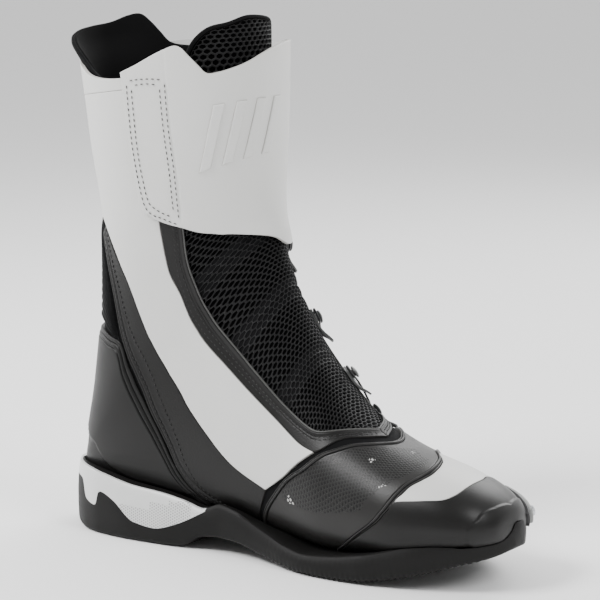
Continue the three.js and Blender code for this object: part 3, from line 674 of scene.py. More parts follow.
def make_finish(name, colour, rough, pebbles=900, depth=0.05, shade=0.12, edge_wear_and_shade_colour=None, edge_wear_and_shade_reach=1.2,
                weave=None, punch=None, sheen=0.0, metal=0.0, shine=0.5, shaded_creases=(), painted_glints=False):
    """A finish: base colour with slow changes of shade, grain or weave in relief, the weave's hollows
    darkened by painted shade, edges turned another colour (worn lighter on black pieces, darker on
    white leather by painted shade with some dirt), holes or dots where the piece is marked, some
    of them painted glints of light, and painted shade in creases at distances from the edge. depth is in
    millimetres."""
    made = bpy.data.materials.new(name)
    made.use_nodes = True
    tree = made.node_tree
    shader = tree.nodes["Principled BSDF"]
    shader.inputs["Metallic"].default_value = metal
    shader.inputs["Specular IOR Level"].default_value = shine
    shader.inputs["Sheen Weight"].default_value = sheen
    shader.inputs["Sheen Roughness"].default_value = 0.5
    place = put(tree, "ShaderNodeTexCoord").outputs["Object"]
    grain = use(tree, GRAIN)
    grain.inputs["Pebbles"].default_value = pebbles
    tree.links.new(place, grain.inputs["Place"])
    dark = tuple(c * (1 - 2 * shade) for c in colour)
    light = tuple(min(c * (1 + shade), 1) for c in colour)
    tone = mixed(tree, grain.outputs["Shade"], dark, light)
    height = grain.outputs["Height"]
    pattern = put(tree, "ShaderNodeUVMap", uv_map="pattern").outputs["UV"]
    edge = put(tree, "ShaderNodeAttribute", attribute_name="edge").outputs["Fac"]
    if weave:
        threads, deep = weave
        cloth = use(tree, WEAVE)
        cloth.inputs["Threads"].default_value = threads
        tree.links.new(pattern, cloth.inputs["Place"])
        height = cloth.outputs["Height"]
        # Painted shade: the weave's low parts are darkened towards a third of the colour, as shade between
        # the threads.
        tone = mixed(tree, maths(tree, "MULTIPLY", maths(tree, "SUBTRACT", 1.0, height), deep), tone,
                     tuple(c * 0.35 for c in colour))
    # Edge colour: lighter wear on the black pieces, and painted shade with some dirt where the white
    # leather meets its neighbours.
    if edge_wear_and_shade_colour:
        edge_wear_and_shade_node = use(tree, EDGE_WEAR_AND_SHADE)
        edge_wear_and_shade_node.inputs["Reach"].default_value = edge_wear_and_shade_reach
        tree.links.new(place, edge_wear_and_shade_node.inputs["Place"])
        tree.links.new(edge, edge_wear_and_shade_node.inputs["Distance"])
        tone = mixed(tree, edge_wear_and_shade_node.outputs["Mask"], tone, edge_wear_and_shade_colour)
    # Painted shade: dark lines laid in the grooves at these distances from the edge, where shade falls.
    for distance in shaded_creases:
        away = maths(tree, "ABSOLUTE", maths(tree, "SUBTRACT", edge, distance))
        line = maths(tree, "MAXIMUM", maths(tree, "MULTIPLY_ADD", away, -3.6, 1.3), 0.0)
        tone = mixed(tree, maths(tree, "MINIMUM", line, 0.92), tone, CREASE_SHADE_BLACK)
    rough_value = maths(tree, "MULTIPLY_ADD", grain.outputs["Shade"], UNEVEN * 2, rough - UNEVEN)
    bumps = tree.nodes.new("ShaderNodeBump")
    bumps.inputs["Distance"].default_value = depth * MM
    bumps.inputs["Strength"].default_value = 1.0
    if punch:
        pitch, radius, hollow = punch
        holes = use(tree, PUNCH)
        holes.inputs["Pitch"].default_value = pitch * MM
        holes.inputs["Radius"].default_value = radius * MM
        tree.links.new(pattern, holes.inputs["Place"])
        marked = put(tree, "ShaderNodeAttribute", attribute_name="mark")
        inside = maths(tree, "GREATER_THAN", marked.outputs["Fac"], 0.5)
        here = maths(tree, "MULTIPLY", holes.outputs["Hole"], inside)
        # Painted light: a few patches of holes are painted bright grey, as glints of light seen through
        # them.
        if painted_glints:
            cloud = put(tree, "ShaderNodeTexNoise", Scale=85.0, Detail=1.0)
            tree.links.new(place, cloud.inputs["Vector"])
            painted_glint = maths(tree, "GREATER_THAN", cloud.outputs["Fac"], 0.68)
            hollow = mixed(tree, painted_glint, hollow, PAINTED_GLINT_GREY)
        tone = mixed(tree, here, tone, hollow)
        height = maths(tree, "MULTIPLY_ADD", here, -6.0, height)
    tree.links.new(tone, shader.inputs["Base Color"])
    tree.links.new(rough_value, shader.inputs["Roughness"])
    tree.links.new(height, bumps.inputs["Height"])
    tree.links.new(bumps.outputs["Normal"], shader.inputs["Normal"])
    return made


# The white leather's darker edges are painted shade where it meets the pieces beside it, with a little
# dirt.
WHITE_LEATHER = make_finish("white_leather", (0.6, 0.6, 0.585), 0.44, 1100, 0.035, 0.02,
                            edge_wear_and_shade_colour=(0.4, 0.39, 0.37), edge_wear_and_shade_reach=0.5, shine=0.4)
BLACK_LEATHER = make_finish("black_leather", (0.0075, 0.0072, 0.007), 0.42, 1000, 0.05, 0.12,
                            edge_wear_and_shade_colour=(0.025, 0.024, 0.023), edge_wear_and_shade_reach=0.8, shine=0.22)
# The dark lines beside its corded edges are painted shade in their grooves.
PUNCHED_LEATHER = make_finish("punched_leather", (0.0125, 0.012, 0.0115), 0.4, 1000, 0.05, 0.12,
                              edge_wear_and_shade_colour=(0.03, 0.029, 0.028), edge_wear_and_shade_reach=0.9, shine=0.3, shaded_creases=(1.05, 3.15),
                              punch=(2.6, 0.9, (0.0005, 0.0005, 0.0005)), painted_glints=True)
MESH_FABRIC = make_finish("spacer_mesh", (0.0085, 0.0085, 0.009), 0.5, 2600, 0.08, 0.2,
                          shine=0.2, sheen=0.03)
MESH_FLOOR = make_finish("mesh_backing", (0.001, 0.001, 0.0011), 0.9, weave=(900, 0.5), shine=0.03)
STRETCH_FABRIC = make_finish("stretch_fabric", (0.007, 0.007, 0.0075), 0.8, depth=0.12,
                             weave=(700, 0.6), shine=0.12, sheen=0.05)
LINING_FABRIC = make_finish("lining_fabric", (0.007, 0.007, 0.0075), 0.85, depth=0.1,
                            weave=(800, 0.5), shine=0.06, sheen=0.02)
COLLAR_FABRIC = make_finish("collar_microfibre", (0.004, 0.004, 0.0042), 0.8, 2400, 0.06, 0.3,
                            shine=0.07, sheen=0.02)
MOULDED_BLACK = make_finish("moulded_black", (0.007, 0.0068, 0.0066), 0.38, 1500, 0.02, 0.08,
                            edge_wear_and_shade_colour=(0.02, 0.019, 0.018), edge_wear_and_shade_reach=0.8, shine=0.24)
# The dark lines in its two top-edge grooves are painted shade.
CUP_BLACK = make_finish("heel_cup_black", (0.008, 0.0078, 0.0076), 0.44, 1500, 0.02, 0.1,
                        shaded_creases=(2.4, 5.2), shine=0.2)
HOOK_GREY = make_finish("hook_grey", (0.07, 0.07, 0.07), 0.35, 1400, 0.015, 0.1, shine=0.5)
SOLE_RUBBER = make_finish("sole_rubber", (0.0065, 0.0063, 0.0061), 0.55, 1300, 0.04, 0.12, shine=0.16)
HARD_BLACK = make_finish("hard_black", (0.01, 0.01, 0.0105), 0.3, 1400, 0.015, 0.1, shine=0.45)
INSERT_PLASTIC = make_finish("insert_plastic", (0.6, 0.605, 0.6), 0.34, 1400, 0.012, 0.03,
                             punch=(1.7, 0.5, (0.3, 0.3, 0.3)))
GREY_PLASTIC = make_finish("grey_plastic", (0.22, 0.225, 0.22), 0.42, 900, 0.06, 0.1)
STEEL = make_finish("screw_steel", (0.55, 0.56, 0.58), 0.3, 1200, 0.01, 0.05, metal=1.0)
LACE_WIRE = make_finish("lace_wire", (0.009, 0.009, 0.01), 0.4, depth=0.08, weave=(1200, 0.5),
                        shine=0.3)
BLACK_THREAD = make_finish("black_thread", (0.018, 0.018, 0.018), 0.5, 3000, 0.03, shine=0.3)
GREY_THREAD = make_finish("grey_thread", (0.045, 0.045, 0.043), 0.55, 3000, 0.03, shine=0.3)
PIPING_GREY = make_finish("grey_piping", (0.05, 0.05, 0.048), 0.45, 1800, 0.02, shine=0.4)
INSOLE_BOARD = make_finish("insole_board", (0.06, 0.052, 0.042), 0.85, 700, 0.05, shine=0.1)

# ---------------------------------------------------------------- seam lines, medial side
STRIPE_FRONT = [
    (0.9715, 84), (0.935, 84), (0.9, 84), (0.83, 84), (0.768, 80), (0.712, 71.6),
    (0.657, 67.8), (0.6, 68.4), (0.53, 69.3), (0.45, 70.3), (0.39, 71), (0.352, 67),
]
STRIPE_REAR = [
    (0.9715, 180), (0.935, 180), (0.905, 175), (0.864, 134.5), (0.8, 111.2), (0.741, 96.8),
    (0.675, 86.6), (0.636, 86.4), (0.592, 91.6), (0.55, 97.2), (0.49, 105.8), (0.426, 108.6),
]
FACING_FOOT = [(0.308, 39), (0.277, 19), (0.259, 0)]
FACING_INNER = [
    (0.9715, 70), (0.935, 70), (0.9, 70), (0.825, 70), (0.762, 68.5), (0.702, 63), (0.655, 60),
    (0.59, 60), (0.524, 60), (0.44, 60), (0.395, 58), (0.362, 53), (0.327, 38), (0.295, 18),
    (0.278, 0),
]
QUARTER_REAR = [
    (0.858, 141), (0.794, 124.5), (0.742, 111.6), (0.68, 98.4), (0.645, 99),
    (0.592, 110.5), (0.561, 122.5), (0.524, 136), (0.44, 151),
]
OVERLAY_REAR = [
    (0.432, 150), (0.43, 136), (0.424, 122), (0.414, 110), (0.396, 94), (0.372, 84),
    (0.338, 64), (0.314, 52), (0.292, 39), (0.262, 20), (0.245, 0),
]
OVERLAY_FRONT = [
    (0.316, 150), (0.296, 136), (0.272, 122), (0.25, 110), (0.217, 94), (0.1995, 84),
    (0.183, 66), (0.174, 54), (0.162, 41), (0.154, 26), (0.158, 4.5),
    (0.172, -8), (0.19, -20), (0.205, -39), (0.215, -54), (0.224, -70),
    (0.234, -86), (0.25, -102), (0.272, -120), (0.296, -136), (0.316, -150),
]
TOE_REAR = [(0.196, 76), *OVERLAY_FRONT[6:16], (0.2265, -74.5), (0.229, -78)]
TOE_FRONT = [
    (0.19, 75), (0.15, 68.5), (0.12, 60), (0.106, 46), (0.1, 28), (0.098, 8),
    (0.099, -8), (0.105, -23), (0.109, -42), (0.117, -57), (0.152, -69), (0.19, -74.2), (0.221, -77.4),
]
CAP_REAR = [*OVERLAY_FRONT[:6], (0.196, 77), *TOE_FRONT[1:12], (0.229, -79.7), *OVERLAY_FRONT[16:]]
COUNTER_TOP = [
    (0.51, 141), (0.543, 129.5), (0.572, 118.5), (0.604, 107.8), (0.64, 100.2), (0.676, 99.4),
    (0.708, 104.6), (0.74, 112.8), (0.757, 124), (0.773, 139), (0.782, 156), (0.787, 180),
]
COUNTER_FOOT = [
    (0.505, 149), (0.52, 150), (0.545, 150), (0.57, 150), (0.59, 150), (0.605, 151),
    (0.618, 153), (0.628, 156), (0.636, 160), (0.641, 166), (0.645, 172), (0.648, 180),
]
BELLOWS_FOOT = [(0.739, 113.6), (0.76, 124.5), (0.779, 140), (0.788, 156.5), (0.793, 180)]
BELLOWS_TOP = [(0.744, 115), (0.794, 126.5), (0.828, 135.5), (0.864, 152), (0.894, 180)]
MESH_LATERAL = [
    (0.925, -36), (0.9, -36), (0.825, -36), (0.762, -36), (0.702, -35), (0.655, -34), (0.59, -34),
    (0.524, -33), (0.44, -32), (0.395, -31), (0.362, -30), (0.33, -27), (0.3, -18), (0.281, -5),
]


def same(line):
    return line


# ---------------------------------------------------------------- quarters, facings and mesh
def groove(distance, at, wide, deep):
    return -deep * np.exp(-(((distance - at) / wide) ** 2))


def cord_relief(distance, at, radius, rise):
    """A cord sewn in under a seam: a round ridge with a crease on each side."""
    off = np.clip(np.abs(distance - at) / radius, 0, 1)
    sides = groove(distance, at - radius, 0.3, 0.5) + groove(distance, at + radius, 0.3, 0.5)
    return rise * np.sqrt(1 - off ** 2) + sides


def make_quarters():
    for side, turn in (("medial", same), ("lateral", mirrored)):
        stripe = panel(f"white_quarter_{side}", turn(STRIPE_FRONT), turn(STRIPE_REAR), WHITE_LEATHER,
                       top=0.45, under=-1.5, along=120, across=26, rim=0.4)
        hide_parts(f"white_quarter_{side}")
        bend_at_ankle(stripe)
        quarter = panel(f"black_quarter_{side}", turn(STRIPE_REAR[3:]), turn(QUARTER_REAR),
                        BLACK_LEATHER, top=0.0, under=-1.6, along=100, across=12, rim=0.35,
                        fine=(1.2, 1.6, 2.0, 2.4, 4.2, 4.6, 5.0),
                        relief=lambda u, v, da, db, run, length: 0.8 * smoothstep(9, 0, db)
                        + groove(db, 1.6, 0.3, 0.25) + groove(db, 4.6, 0.3, 0.25))
        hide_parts(f"black_quarter_{side}")
        bend_at_ankle(quarter)
        facing = panel(f"eyestay_{side}", turn(STRIPE_FRONT + FACING_FOOT), turn(FACING_INNER),
                       BLACK_LEATHER, top=0.1, under=-1.6, along=150, across=8, rim=0.4,
                       fine=(0.8, 1.2, 1.6, 2.0, 2.6, 3.0, 3.4, 4.2, 4.6, 5.0),
                       relief=lambda u, v, da, db, run, length: groove(db, 3.0, 0.3, 0.22)
                       + groove(db, 4.6, 0.3, 0.22) + 0.5 * np.exp(-(((db - 0.9) / 0.9) ** 2)))
        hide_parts(f"eyestay_{side}")
        bend_at_ankle(facing)
        inner = seam(turn(FACING_INNER))
        sign = 1 if side == "medial" else -1
        trim = piping(f"facing_piping_{side}", inner, 0.55, PIPING_GREY, height=0.25, offset=sign * 0.1)
        bend_at_ankle(trim)
        sewing = stitched(f"facing_stitches_{side}", [
            (inner, -sign * 3.2, 0.1, 2.1), (inner, -sign * 4.8, 0.1, 2.1)], BLACK_THREAD)
        bend_at_ankle(sewing)
        rear = seam(turn(QUARTER_REAR))
        sewing = stitched(f"quarter_stitches_{side}", [
            (rear, sign * 1.9, 0.55, 2.1), (rear, sign * 4.8, 0.3, 2.1)], BLACK_THREAD)
        bend_at_ankle(sewing)


def make_mesh():
    medial = [(0.925, 70)] + FACING_INNER[2:]
    floor = panel("mesh_backing", medial, MESH_LATERAL, MESH_FLOOR, top=-2.45, under=-2.9,
                  along=90, across=24, rim=0.1, trim=0.1)
    bend_at_ankle(floor)
    edge = seam(medial)(np.linspace(0.03, 1, 90))
    back = seam(MESH_LATERAL)(np.linspace(1, 0.03, 80))
    outline = [tuple(p) for p in edge] + [tuple(p) for p in back]
    darts = [(0.712, 1.1), (0.69, 0.8), (0.588, 1.0), (0.568, 0.8), (0.462, 0.9), (0.443, 0.7)]
    mesh = honeycomb("front_mesh", outline, MESH_FABRIC, top=0.0, darts=darts)
    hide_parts("front_mesh")
    bend_at_ankle(mesh)
    front = MESH_LATERAL[:11] + [(0.338, -29)]
    rear = [(0.925, -70)] + mirrored(FACING_INNER)[2:12] + [(0.342, -46)]
    gusset = panel("lace_gusset", front, rear, STRETCH_FABRIC, top=-0.3, under=-1.7, along=150,
                   across=14, rim=0.3,
                   relief=lambda u, v, da, db, run, length: 0.35 * np.cos(run * 2 * np.pi / 4.5))
    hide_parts("lace_gusset")
    bend_at_ankle(gusset)
    seam_cover = piping("gusset_seam", seam(front), 0.7, BLACK_LEATHER)
    bend_at_ankle(seam_cover)


# ---------------------------------------------------------------- toe: overlay, panel and cap
# The punched parts of the overlay: outlines in u and v, the lateral one with v turned round.
PUNCHED_AREA = np.array([
    (0.402, 96), (0.392, 108), (0.35, 105), (0.31, 99.5), (0.245, 89), (0.222, 70.5), (0.202, 55),
    (0.184, 40), (0.172, 20), (0.176, 6), (0.212, -2), (0.242, 18), (0.272, 36.5), (0.31, 57.5),
    (0.355, 79.5),
])
PUNCHED_LATERAL = np.array([
    (0.386, 93), (0.372, 82), (0.31, 57), (0.26, 29), (0.236, 16), (0.236, 40), (0.246, 54),
    (0.262, 86), (0.286, 100), (0.358, 109),
])
# Degrees round from the ridge, and how far back in u the toe bumper's edge lies there.
BUMPER = np.array([
    (0, 0.041), (6.5, 0.044), (35, 0.05), (44.5, 0.054), (60, 0.06), (75.5, 0.064), (90.5, 0.076),
    (101, 0.078), (112, 0.082),
])


def make_vamp():
    fine = (0.7, 1.0, 1.3, 1.7, 2.1, 2.5, 2.9, 3.2, 3.5, 3.8, 4.2)

    def punched(u, v):
        here, across = (inside_outline(np.stack([u.ravel(), turn * v.ravel()], axis=-1), area)
                        for turn, area in ((1, PUNCHED_AREA), (-1, PUNCHED_LATERAL)))
        return (here | across).reshape(u.shape).astype(float)

    def corded(u, v, da, db, run, length):
        return cord_relief(da, 2.1, 1.0, 0.85) + cord_relief(db, 2.1, 1.0, 0.85)

    overlay = panel("vamp_overlay", both_sides(OVERLAY_REAR), OVERLAY_FRONT, PUNCHED_LEATHER,
                    top=0.7, under=-1.5, along=220, across=34, rim=0.5, fine=fine, mark=punched,
                    relief=corded)
    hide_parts("vamp_overlay")
    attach(overlay, "foot")
    toe = panel("toe_panel", TOE_REAR, TOE_FRONT, WHITE_LEATHER,
                top=0.1, under=-1.5, along=120, across=16, rim=0.3)
    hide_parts("toe_panel")
    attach(toe, "foot")
    front = [(0.0015, v) for _, v in CAP_REAR]

    def bumper(u, v, da, db, run, length):
        line = np.interp(np.abs(v), BUMPER[:, 0], BUMPER[:, 1])
        step = (line - u) * REACH
        return 0.75 * smoothstep(-1.0, 1.2, step)

    cap = panel("toe_cap", CAP_REAR, front, MOULDED_BLACK, top=0.5, under=-1.5,
                along=260, across=90, rim=0.45, relief=bumper)
    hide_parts("toe_cap")
    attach(cap, "foot")


# ---------------------------------------------------------------- heel cup and bellows
# Where the cup's field is sunk behind a crease: u and degrees round.
CUP_CREASE = np.array([(0.664, 132), (0.676, 136.5), (0.698, 148.3), (0.708, 160), (0.712, 180)])


def make_heel():
    fine = (1.4, 1.8, 2.1, 2.4, 2.7, 3.1, 3.5, 4.2, 4.6, 4.9, 5.2, 5.5, 5.9, 6.3)

    def cup_relief(u, v, da, db, run, length):
        """A thin grooved top edge, a sunk field behind the crease and a thicker foot."""
        medial_v = np.where(v > 180, 360 - v, v)
        crease_u = np.interp(medial_v, CUP_CREASE[:, 1], CUP_CREASE[:, 0])
        past = (medial_v - 134.5) * GIRTH * 1.6
        below = (crease_u - u) * REACH
        sunk = -1.3 * smoothstep(-0.4, 0.8, below) * smoothstep(-0.6, 1.0, past)
        thin = -1.0 * smoothstep(6, 0, da) + groove(da, 2.4, 0.4, 0.9) + groove(da, 5.2, 0.4, 0.9)
        low = 0.65 * smoothstep(50, 42, bare_skin(u, v)[..., 2])
        return thin + sunk + low

    cup = panel("heel_counter", round_back(COUNTER_TOP), round_back(COUNTER_FOOT), CUP_BLACK,
                top=2.1, under=-1.1, along=260, across=60, rim=0.6, fine=fine, relief=cup_relief)
    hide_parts("heel_counter")
    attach(cup, "foot")
    ribs = 11

    def ribbed(u, v, da, db, run, length):
        part = da / np.maximum(da + db, 1e-6)
        wide = smoothstep(4, 14, da + db)
        return wide * 1.9 * np.abs(np.sin(np.pi * ribs * part)) ** 0.8 - 0.6

    bellows = panel("heel_bellows", round_back(BELLOWS_FOOT), round_back(BELLOWS_TOP), STRETCH_FABRIC,
                    top=0.2, under=-1.6, along=90, across=ribs * 8 + 1, rim=0.2, relief=ribbed)
    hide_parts("heel_bellows")
    bend_at_ankle(bellows)


# ---------------------------------------------------------------- collar, tongue and lining
BAND_FOOT = [
    (0.971, 66), (0.971, 84), (0.971, 105), (0.971, 124), (0.971, 146), (0.971, 180),
    (0.971, 215), (0.971, 235), (0.971, 255), (0.971, 275), (0.971, 292),
]
BAND_TOP = [
    (0.981, 66), (0.981, 84), (0.981, 105), (0.985, 124), (0.996, 146), (0.997, 180),
    (1.0, 215), (1.012, 235), (1.011, 255), (1.0, 275), (0.99, 292),
]
COLLAR_TOP = [
    (0.972, 84), (0.976, 108), (0.982, 124), (0.994, 137), (1.012, 147), (1.028, 158), (1.037, 171),
    (1.043, 186), (1.047, 200), (1.055, 211), (1.056, 218), (1.04, 223.5), (1.024, 228), (1.008, 234),
    (1.0, 255), (0.99, 276),
]
TONGUE_TOP = [
    (0.99, 60), (1.016, 52), (1.032, 42), (1.038, 28), (1.047, 12), (1.045, -6),
    (1.038, -24), (1.022, -40), (0.99, -52),
]


def tongue_lean(u):
    return -4 * smoothstep(0.86, 0.99, u)


def collar_lean(u, v):
    """The soft leaf behind the shaft leans back and outward above the cuff."""
    return 8 * smoothstep(0.972, 1.03, u) * smoothstep(104, 132, v) * smoothstep(232, 190, v)


def make_collar():
    band = panel("cuff_band", BAND_FOOT, BAND_TOP, WHITE_LEATHER, top=0.5, under=-1.5, along=130,
                 across=8, rim=0.5)
    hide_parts("cuff_band")
    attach(band, "shaft")
    foot = [(0.85, v) for _, v in COLLAR_TOP]

    def crowned(u, v, da, db, run, length):
        middle = np.clip(np.minimum(da, db) / 12, 0, 1)
        return 0.5 * np.sin(middle * np.pi / 2)

    collar = panel("rear_collar", foot, COLLAR_TOP, COLLAR_FABRIC,
                   top=lambda u, v: -4.1 + collar_lean(u, v),
                   under=lambda u, v: -7.8 + collar_lean(u, v),
                   along=120, across=30, rim=1.6, relief=crowned)
    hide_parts("rear_collar")
    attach(collar, "shaft")
    places = evenly(seam(COLLAR_TOP), lambda length: int(length / 2) + 2)
    u, v = places[:, 0], places[:, 1]
    binding = cord_along("collar_binding", skin(u, v, -5.6 + collar_lean(u, v)), 1.2, LINING_FABRIC,
                         skin_normal(u, v))
    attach(binding, "shaft")


def make_tongue():
    foot = [(0.85, v) for _, v in TONGUE_TOP]
    leaf = panel("tongue", foot, TONGUE_TOP, COLLAR_FABRIC, top=lambda u, v: -4.6 + tongue_lean(u),
                 under=lambda u, v: -6.0 + tongue_lean(u), along=90, across=24, rim=0.6)
    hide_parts("tongue")
    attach(leaf, "shaft")
    top = seam(TONGUE_TOP)(np.linspace(0, 1, 60))
    outline = [(u - 0.004, v * 0.97) for u, v in top] + [(0.86, -50), (0.86, 58)]
    face = honeycomb("tongue_mesh", outline, MESH_FABRIC, top=-3.0, depth=0.9, wide=4.6, tall=3.8,
                     lean=tongue_lean)
    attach(face, "shaft")
    places = evenly(seam(TONGUE_TOP), lambda length: int(length / 2) + 2, 0.0)
    u, v = places[:, 0], places[:, 1]
    binding = cord_along("tongue_binding", skin(u, v, -4.2 + tongue_lean(u)), 1.1, LINING_FABRIC,
                         skin_normal(u, v))
    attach(binding, "shaft")


def make_lining():
    steps, around = 110, 72
    bm = bmesh.new()
    uv = bm.loops.layers.uv.new("pattern")
    made, row, column = grid_of(bm, around, steps)
    u, v = 0.05 + 0.79 * column / steps, 360.0 * row / around
    places = {vert: (a * REACH * MM, b * GIRTH * MM) for vert, a, b in zip(made, u, v)}
    lay_pattern(bm, uv, places)
    for vert, spot in zip(made, skin(u, v, -3.1)):
        vert.co = spot
    bmesh.ops.remove_doubles(bm, verts=bm.verts[:], dist=1e-6)
    bmesh.ops.recalc_face_normals(bm, faces=bm.faces[:])
    bmesh.ops.solidify(bm, geom=bm.faces[:], thickness=2.0 * MM)
    lining = to_piece("bootie_lining", bm, LINING_FABRIC)
    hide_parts("bootie_lining")
    bend_at_ankle(lining)


def make_insoles():
    edge = [(0.08, 157), (0.14, 157), (0.25, 157), (0.35, 157), (0.45, 157), (0.55, 158), (0.61, 162)]
    across = [(u, 360 - v) for u, v in edge]
    board = panel("insole_board", edge, across, INSOLE_BOARD, top=-0.2, under=-1.7, along=60,
                  across=16, rim=0.3)
    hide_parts("insole_board")
    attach(board, "foot")
    edge = [(0.1, 140), (0.14, 136), (0.25, 134), (0.35, 135), (0.45, 138), (0.55, 141), (0.6, 148)]
    across = [(u, 360 - v) for u, v in edge]
    bed = panel("footbed", edge, across, LINING_FABRIC, top=-6.3, under=-9.9, along=70,
                across=26, rim=1.0)
    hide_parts("footbed")
    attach(bed, "foot")


# ---------------------------------------------------------------- closure flap
FLAP_TOP = [
    (0.9855, 94), (0.9931, 83.3), (1.0072, 68.8), (1.0114, 63), (1.0082, 59.6), (0.998, 55.8),
    (0.987, 51), (0.9785, 46.4), (0.9783, 40), (0.9847, 23.3), (0.995, 8.9), (1.003, -3),
    (1.007, -14), (1.008, -30), (1.006, -50), (1.0, -74),
]
FLAP_FOOT = [
    (0.86, 94), (0.8345, 83.3), (0.8065, 68.8), (0.7935, 63), (0.786, 59.6), (0.778, 55.8),
    (0.768, 51), (0.757, 46.4), (0.743, 40), (0.706, 23.3), (0.68, 8.9), (0.661, -3),
    (0.668, -14), (0.711, -30), (0.765, -50), (0.825, -74),
]
FLAP_SEWING = [  # two rows round the flap's end: rear, front and top of the outer, then the inner
    [(0.978, 90.6), (0.95, 91.3), (0.894, 92), (0.858, 89.7), (0.846, 86.5), (0.834, 80.2),
     (0.812, 69.8)],
    [(0.976, 69.6), (0.934, 70.1), (0.86, 70.5), (0.818, 70.4)],
    [(0.978, 90.6), (0.9785, 84), (0.978, 77), (0.976, 69.6)],
    [(0.974, 88.3), (0.948, 88.8), (0.894, 89.5), (0.86, 87.2), (0.85, 83.9), (0.838, 78.6),
     (0.828, 73.4)],
    [(0.972, 72.6), (0.934, 72.9), (0.864, 73.3), (0.833, 73.2)],
    [(0.974, 88.3), (0.9745, 83), (0.974, 78), (0.972, 72.6)],
]
FLAP_PADS = [  # name, v of the two edges, height of the under and the upper side, and its body
    ("flap_hook_pad", (74, 91), 1.3, 1.85, "flap"),
    ("flap_loop_pad", (70, 93), 0.5, 0.95, "shaft"),
]
BAR_COUNT, BAR_PITCH = 4, 14


def make_flap():
    def shaped(u, v, da, db, run, length):
        hem = groove(np.minimum(da, db), 2.6, 0.5, 0.1)
        step = -0.4 * smoothstep(68.0, 68.8, v) + groove(v * GIRTH, 69.2 * GIRTH, 0.35, 0.25)
        return hem + step * smoothstep(0.806, 0.83, u)

    flap = panel("closure_flap", FLAP_TOP, FLAP_FOOT, WHITE_LEATHER, top=4.2, under=2.2, along=230,
                 across=46, rim=0.6, trim=0.0, relief=shaped)
    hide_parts("closure_flap")
    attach(flap, "flap")
    sewing = stitched("flap_stitches", [(seam(row), 0, 4.25, 2.3) for row in FLAP_SEWING],
                      GREY_THREAD, thick=0.36)
    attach(sewing, "flap")
    for name, edges, low, high, node in FLAP_PADS:
        a, b = ([(0.968, v), (0.93, v), (0.885, v)] for v in edges)
        pad = panel(name, a, b, STRETCH_FABRIC, top=high, under=low, along=20, across=14, rim=0.2)
        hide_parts(name)
        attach(pad, node)
    for index in range(BAR_COUNT):
        shift = index * BAR_PITCH
        a = [(0.948, 44 - shift), (0.872, 56 - shift)]
        b = [(0.948, 37 - shift), (0.872, 49 - shift)]
        bar = panel(f"flap_bar_{index + 1}", a, b, WHITE_LEATHER, top=5.3, under=4.0, along=24,
                    across=10, rim=0.9, trim=0)
        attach(bar, "flap")


# ---------------------------------------------------------------- hooks, lace and reel
HOOKS = [  # number and place
    (1, 0.685, -31), (2, 0.61, -69), (3, 0.535, -31),
    (4, 0.475, -70), (5, 0.415, -31), (6, 0.378, -62),
]
HOOK_LENGTH, HOOK_NOSE, HOOK_WIDTH, HOOK_PLATE, HOOK_RISE = 22, 5, 8.0, 1.7, 3.2
POST, LACE, LACE_HEIGHT = 2.2, 1.3, 2.9


def stretch_at(u, v):
    """Millimetres of skin per unit of u and per degree of v."""
    per_u = np.linalg.norm(skin(u + 0.005, v) - skin(u - 0.005, v)) / 0.01 / MM
    per_v = np.linalg.norm(skin(u, v + 1) - skin(u, v - 1)) / 2 / MM
    return per_u, per_v


def make_hooks():
    """Each hook: a plate with a raised narrow tail, a short post, and a round head on it."""
    for number, u, v in HOOKS:
        bm = bmesh.new()
        bmesh.ops.create_cube(bm, size=1)
        bmesh.ops.subdivide_edges(bm, edges=bm.edges[:], cuts=7, use_grid_fill=True)
        for vert in bm.verts:
            x = vert.co.x + 0.5
            tail = float(smoothstep(0.45, 1.0, x))
            nose = float(smoothstep(0.14, 0.0, x))
            vert.co.x = -HOOK_NOSE + HOOK_LENGTH * x
            vert.co.y = vert.co.y * HOOK_WIDTH * (1 - 0.72 * tail) * (1 - 0.3 * nose)
            crown = 1 - (vert.co.y / 4.4) ** 2 * 0.35
            thick = (vert.co.z + 0.5) * HOOK_PLATE * crown * (1 - 0.3 * tail)
            vert.co.z = 0.4 + thick + HOOK_RISE * tail ** 2
        bmesh.ops.create_cone(bm, cap_ends=True, segments=20, radius1=2.4, radius2=2.1, depth=3.2,
                              matrix=Matrix.Translation((0, 0, 3.0)))
        knob = Matrix.Translation((0, 0, 4.7)) @ Matrix.Diagonal((1, 1.12, 0.36, 1))
        bmesh.ops.create_uvsphere(bm, u_segments=24, v_segments=12, radius=3.6, matrix=knob)
        per_u, per_v = stretch_at(u, v)
        spots = np.array([tuple(vert.co) for vert in bm.verts])
        laid = skin(u - spots[:, 0] / per_u, v - spots[:, 1] / per_v, spots[:, 2])
        for vert, spot in zip(bm.verts, laid):
            vert.co = spot
        hook = to_piece(f"lace_hook_{number}", bm, HOOK_GREY, sharp=40)
        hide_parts(f"lace_hook_{number}")
        bend_at_ankle(hook)


def make_lace():
    """The wire lace comes from the reel and goes round the posts from one side to the other."""
    clear = 0.75
    around, beside = HOOK_WIDTH / 2 + LACE / 2 + clear, POST + LACE / 2 + clear
    stops = [(0.879, -89.5, 1.1), (0.86, -80, 1.1), (0.81, -66, 1.15), (0.75, -50, 1.5)]
    for number, u, v in HOOKS:
        side = 1 if v > -50 else -1
        per_u, per_v = stretch_at(u, v)
        turn = [(-side * 0.6, -1), (side * 0.75, -1), (side, 0), (side * 0.75, 1), (-side * 0.6, 1)]
        for y, x in turn[:2] if number == len(HOOKS) else turn:
            stops.append((u - x * beside / per_u, v + y * around / per_v, LACE_HEIGHT))
    route = curve_through([(u * REACH, v * GIRTH, h) for u, v, h in stops])(np.linspace(0, 1, 420))
    u, v, h = route[:, 0] / REACH, route[:, 1] / GIRTH, route[:, 2]
    lace = cord_along("lace", skin(u, v, h), LACE / 2, LACE_WIRE, skin_normal(u, v), sides=10)
    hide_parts("lace")
    bend_at_ankle(lace)


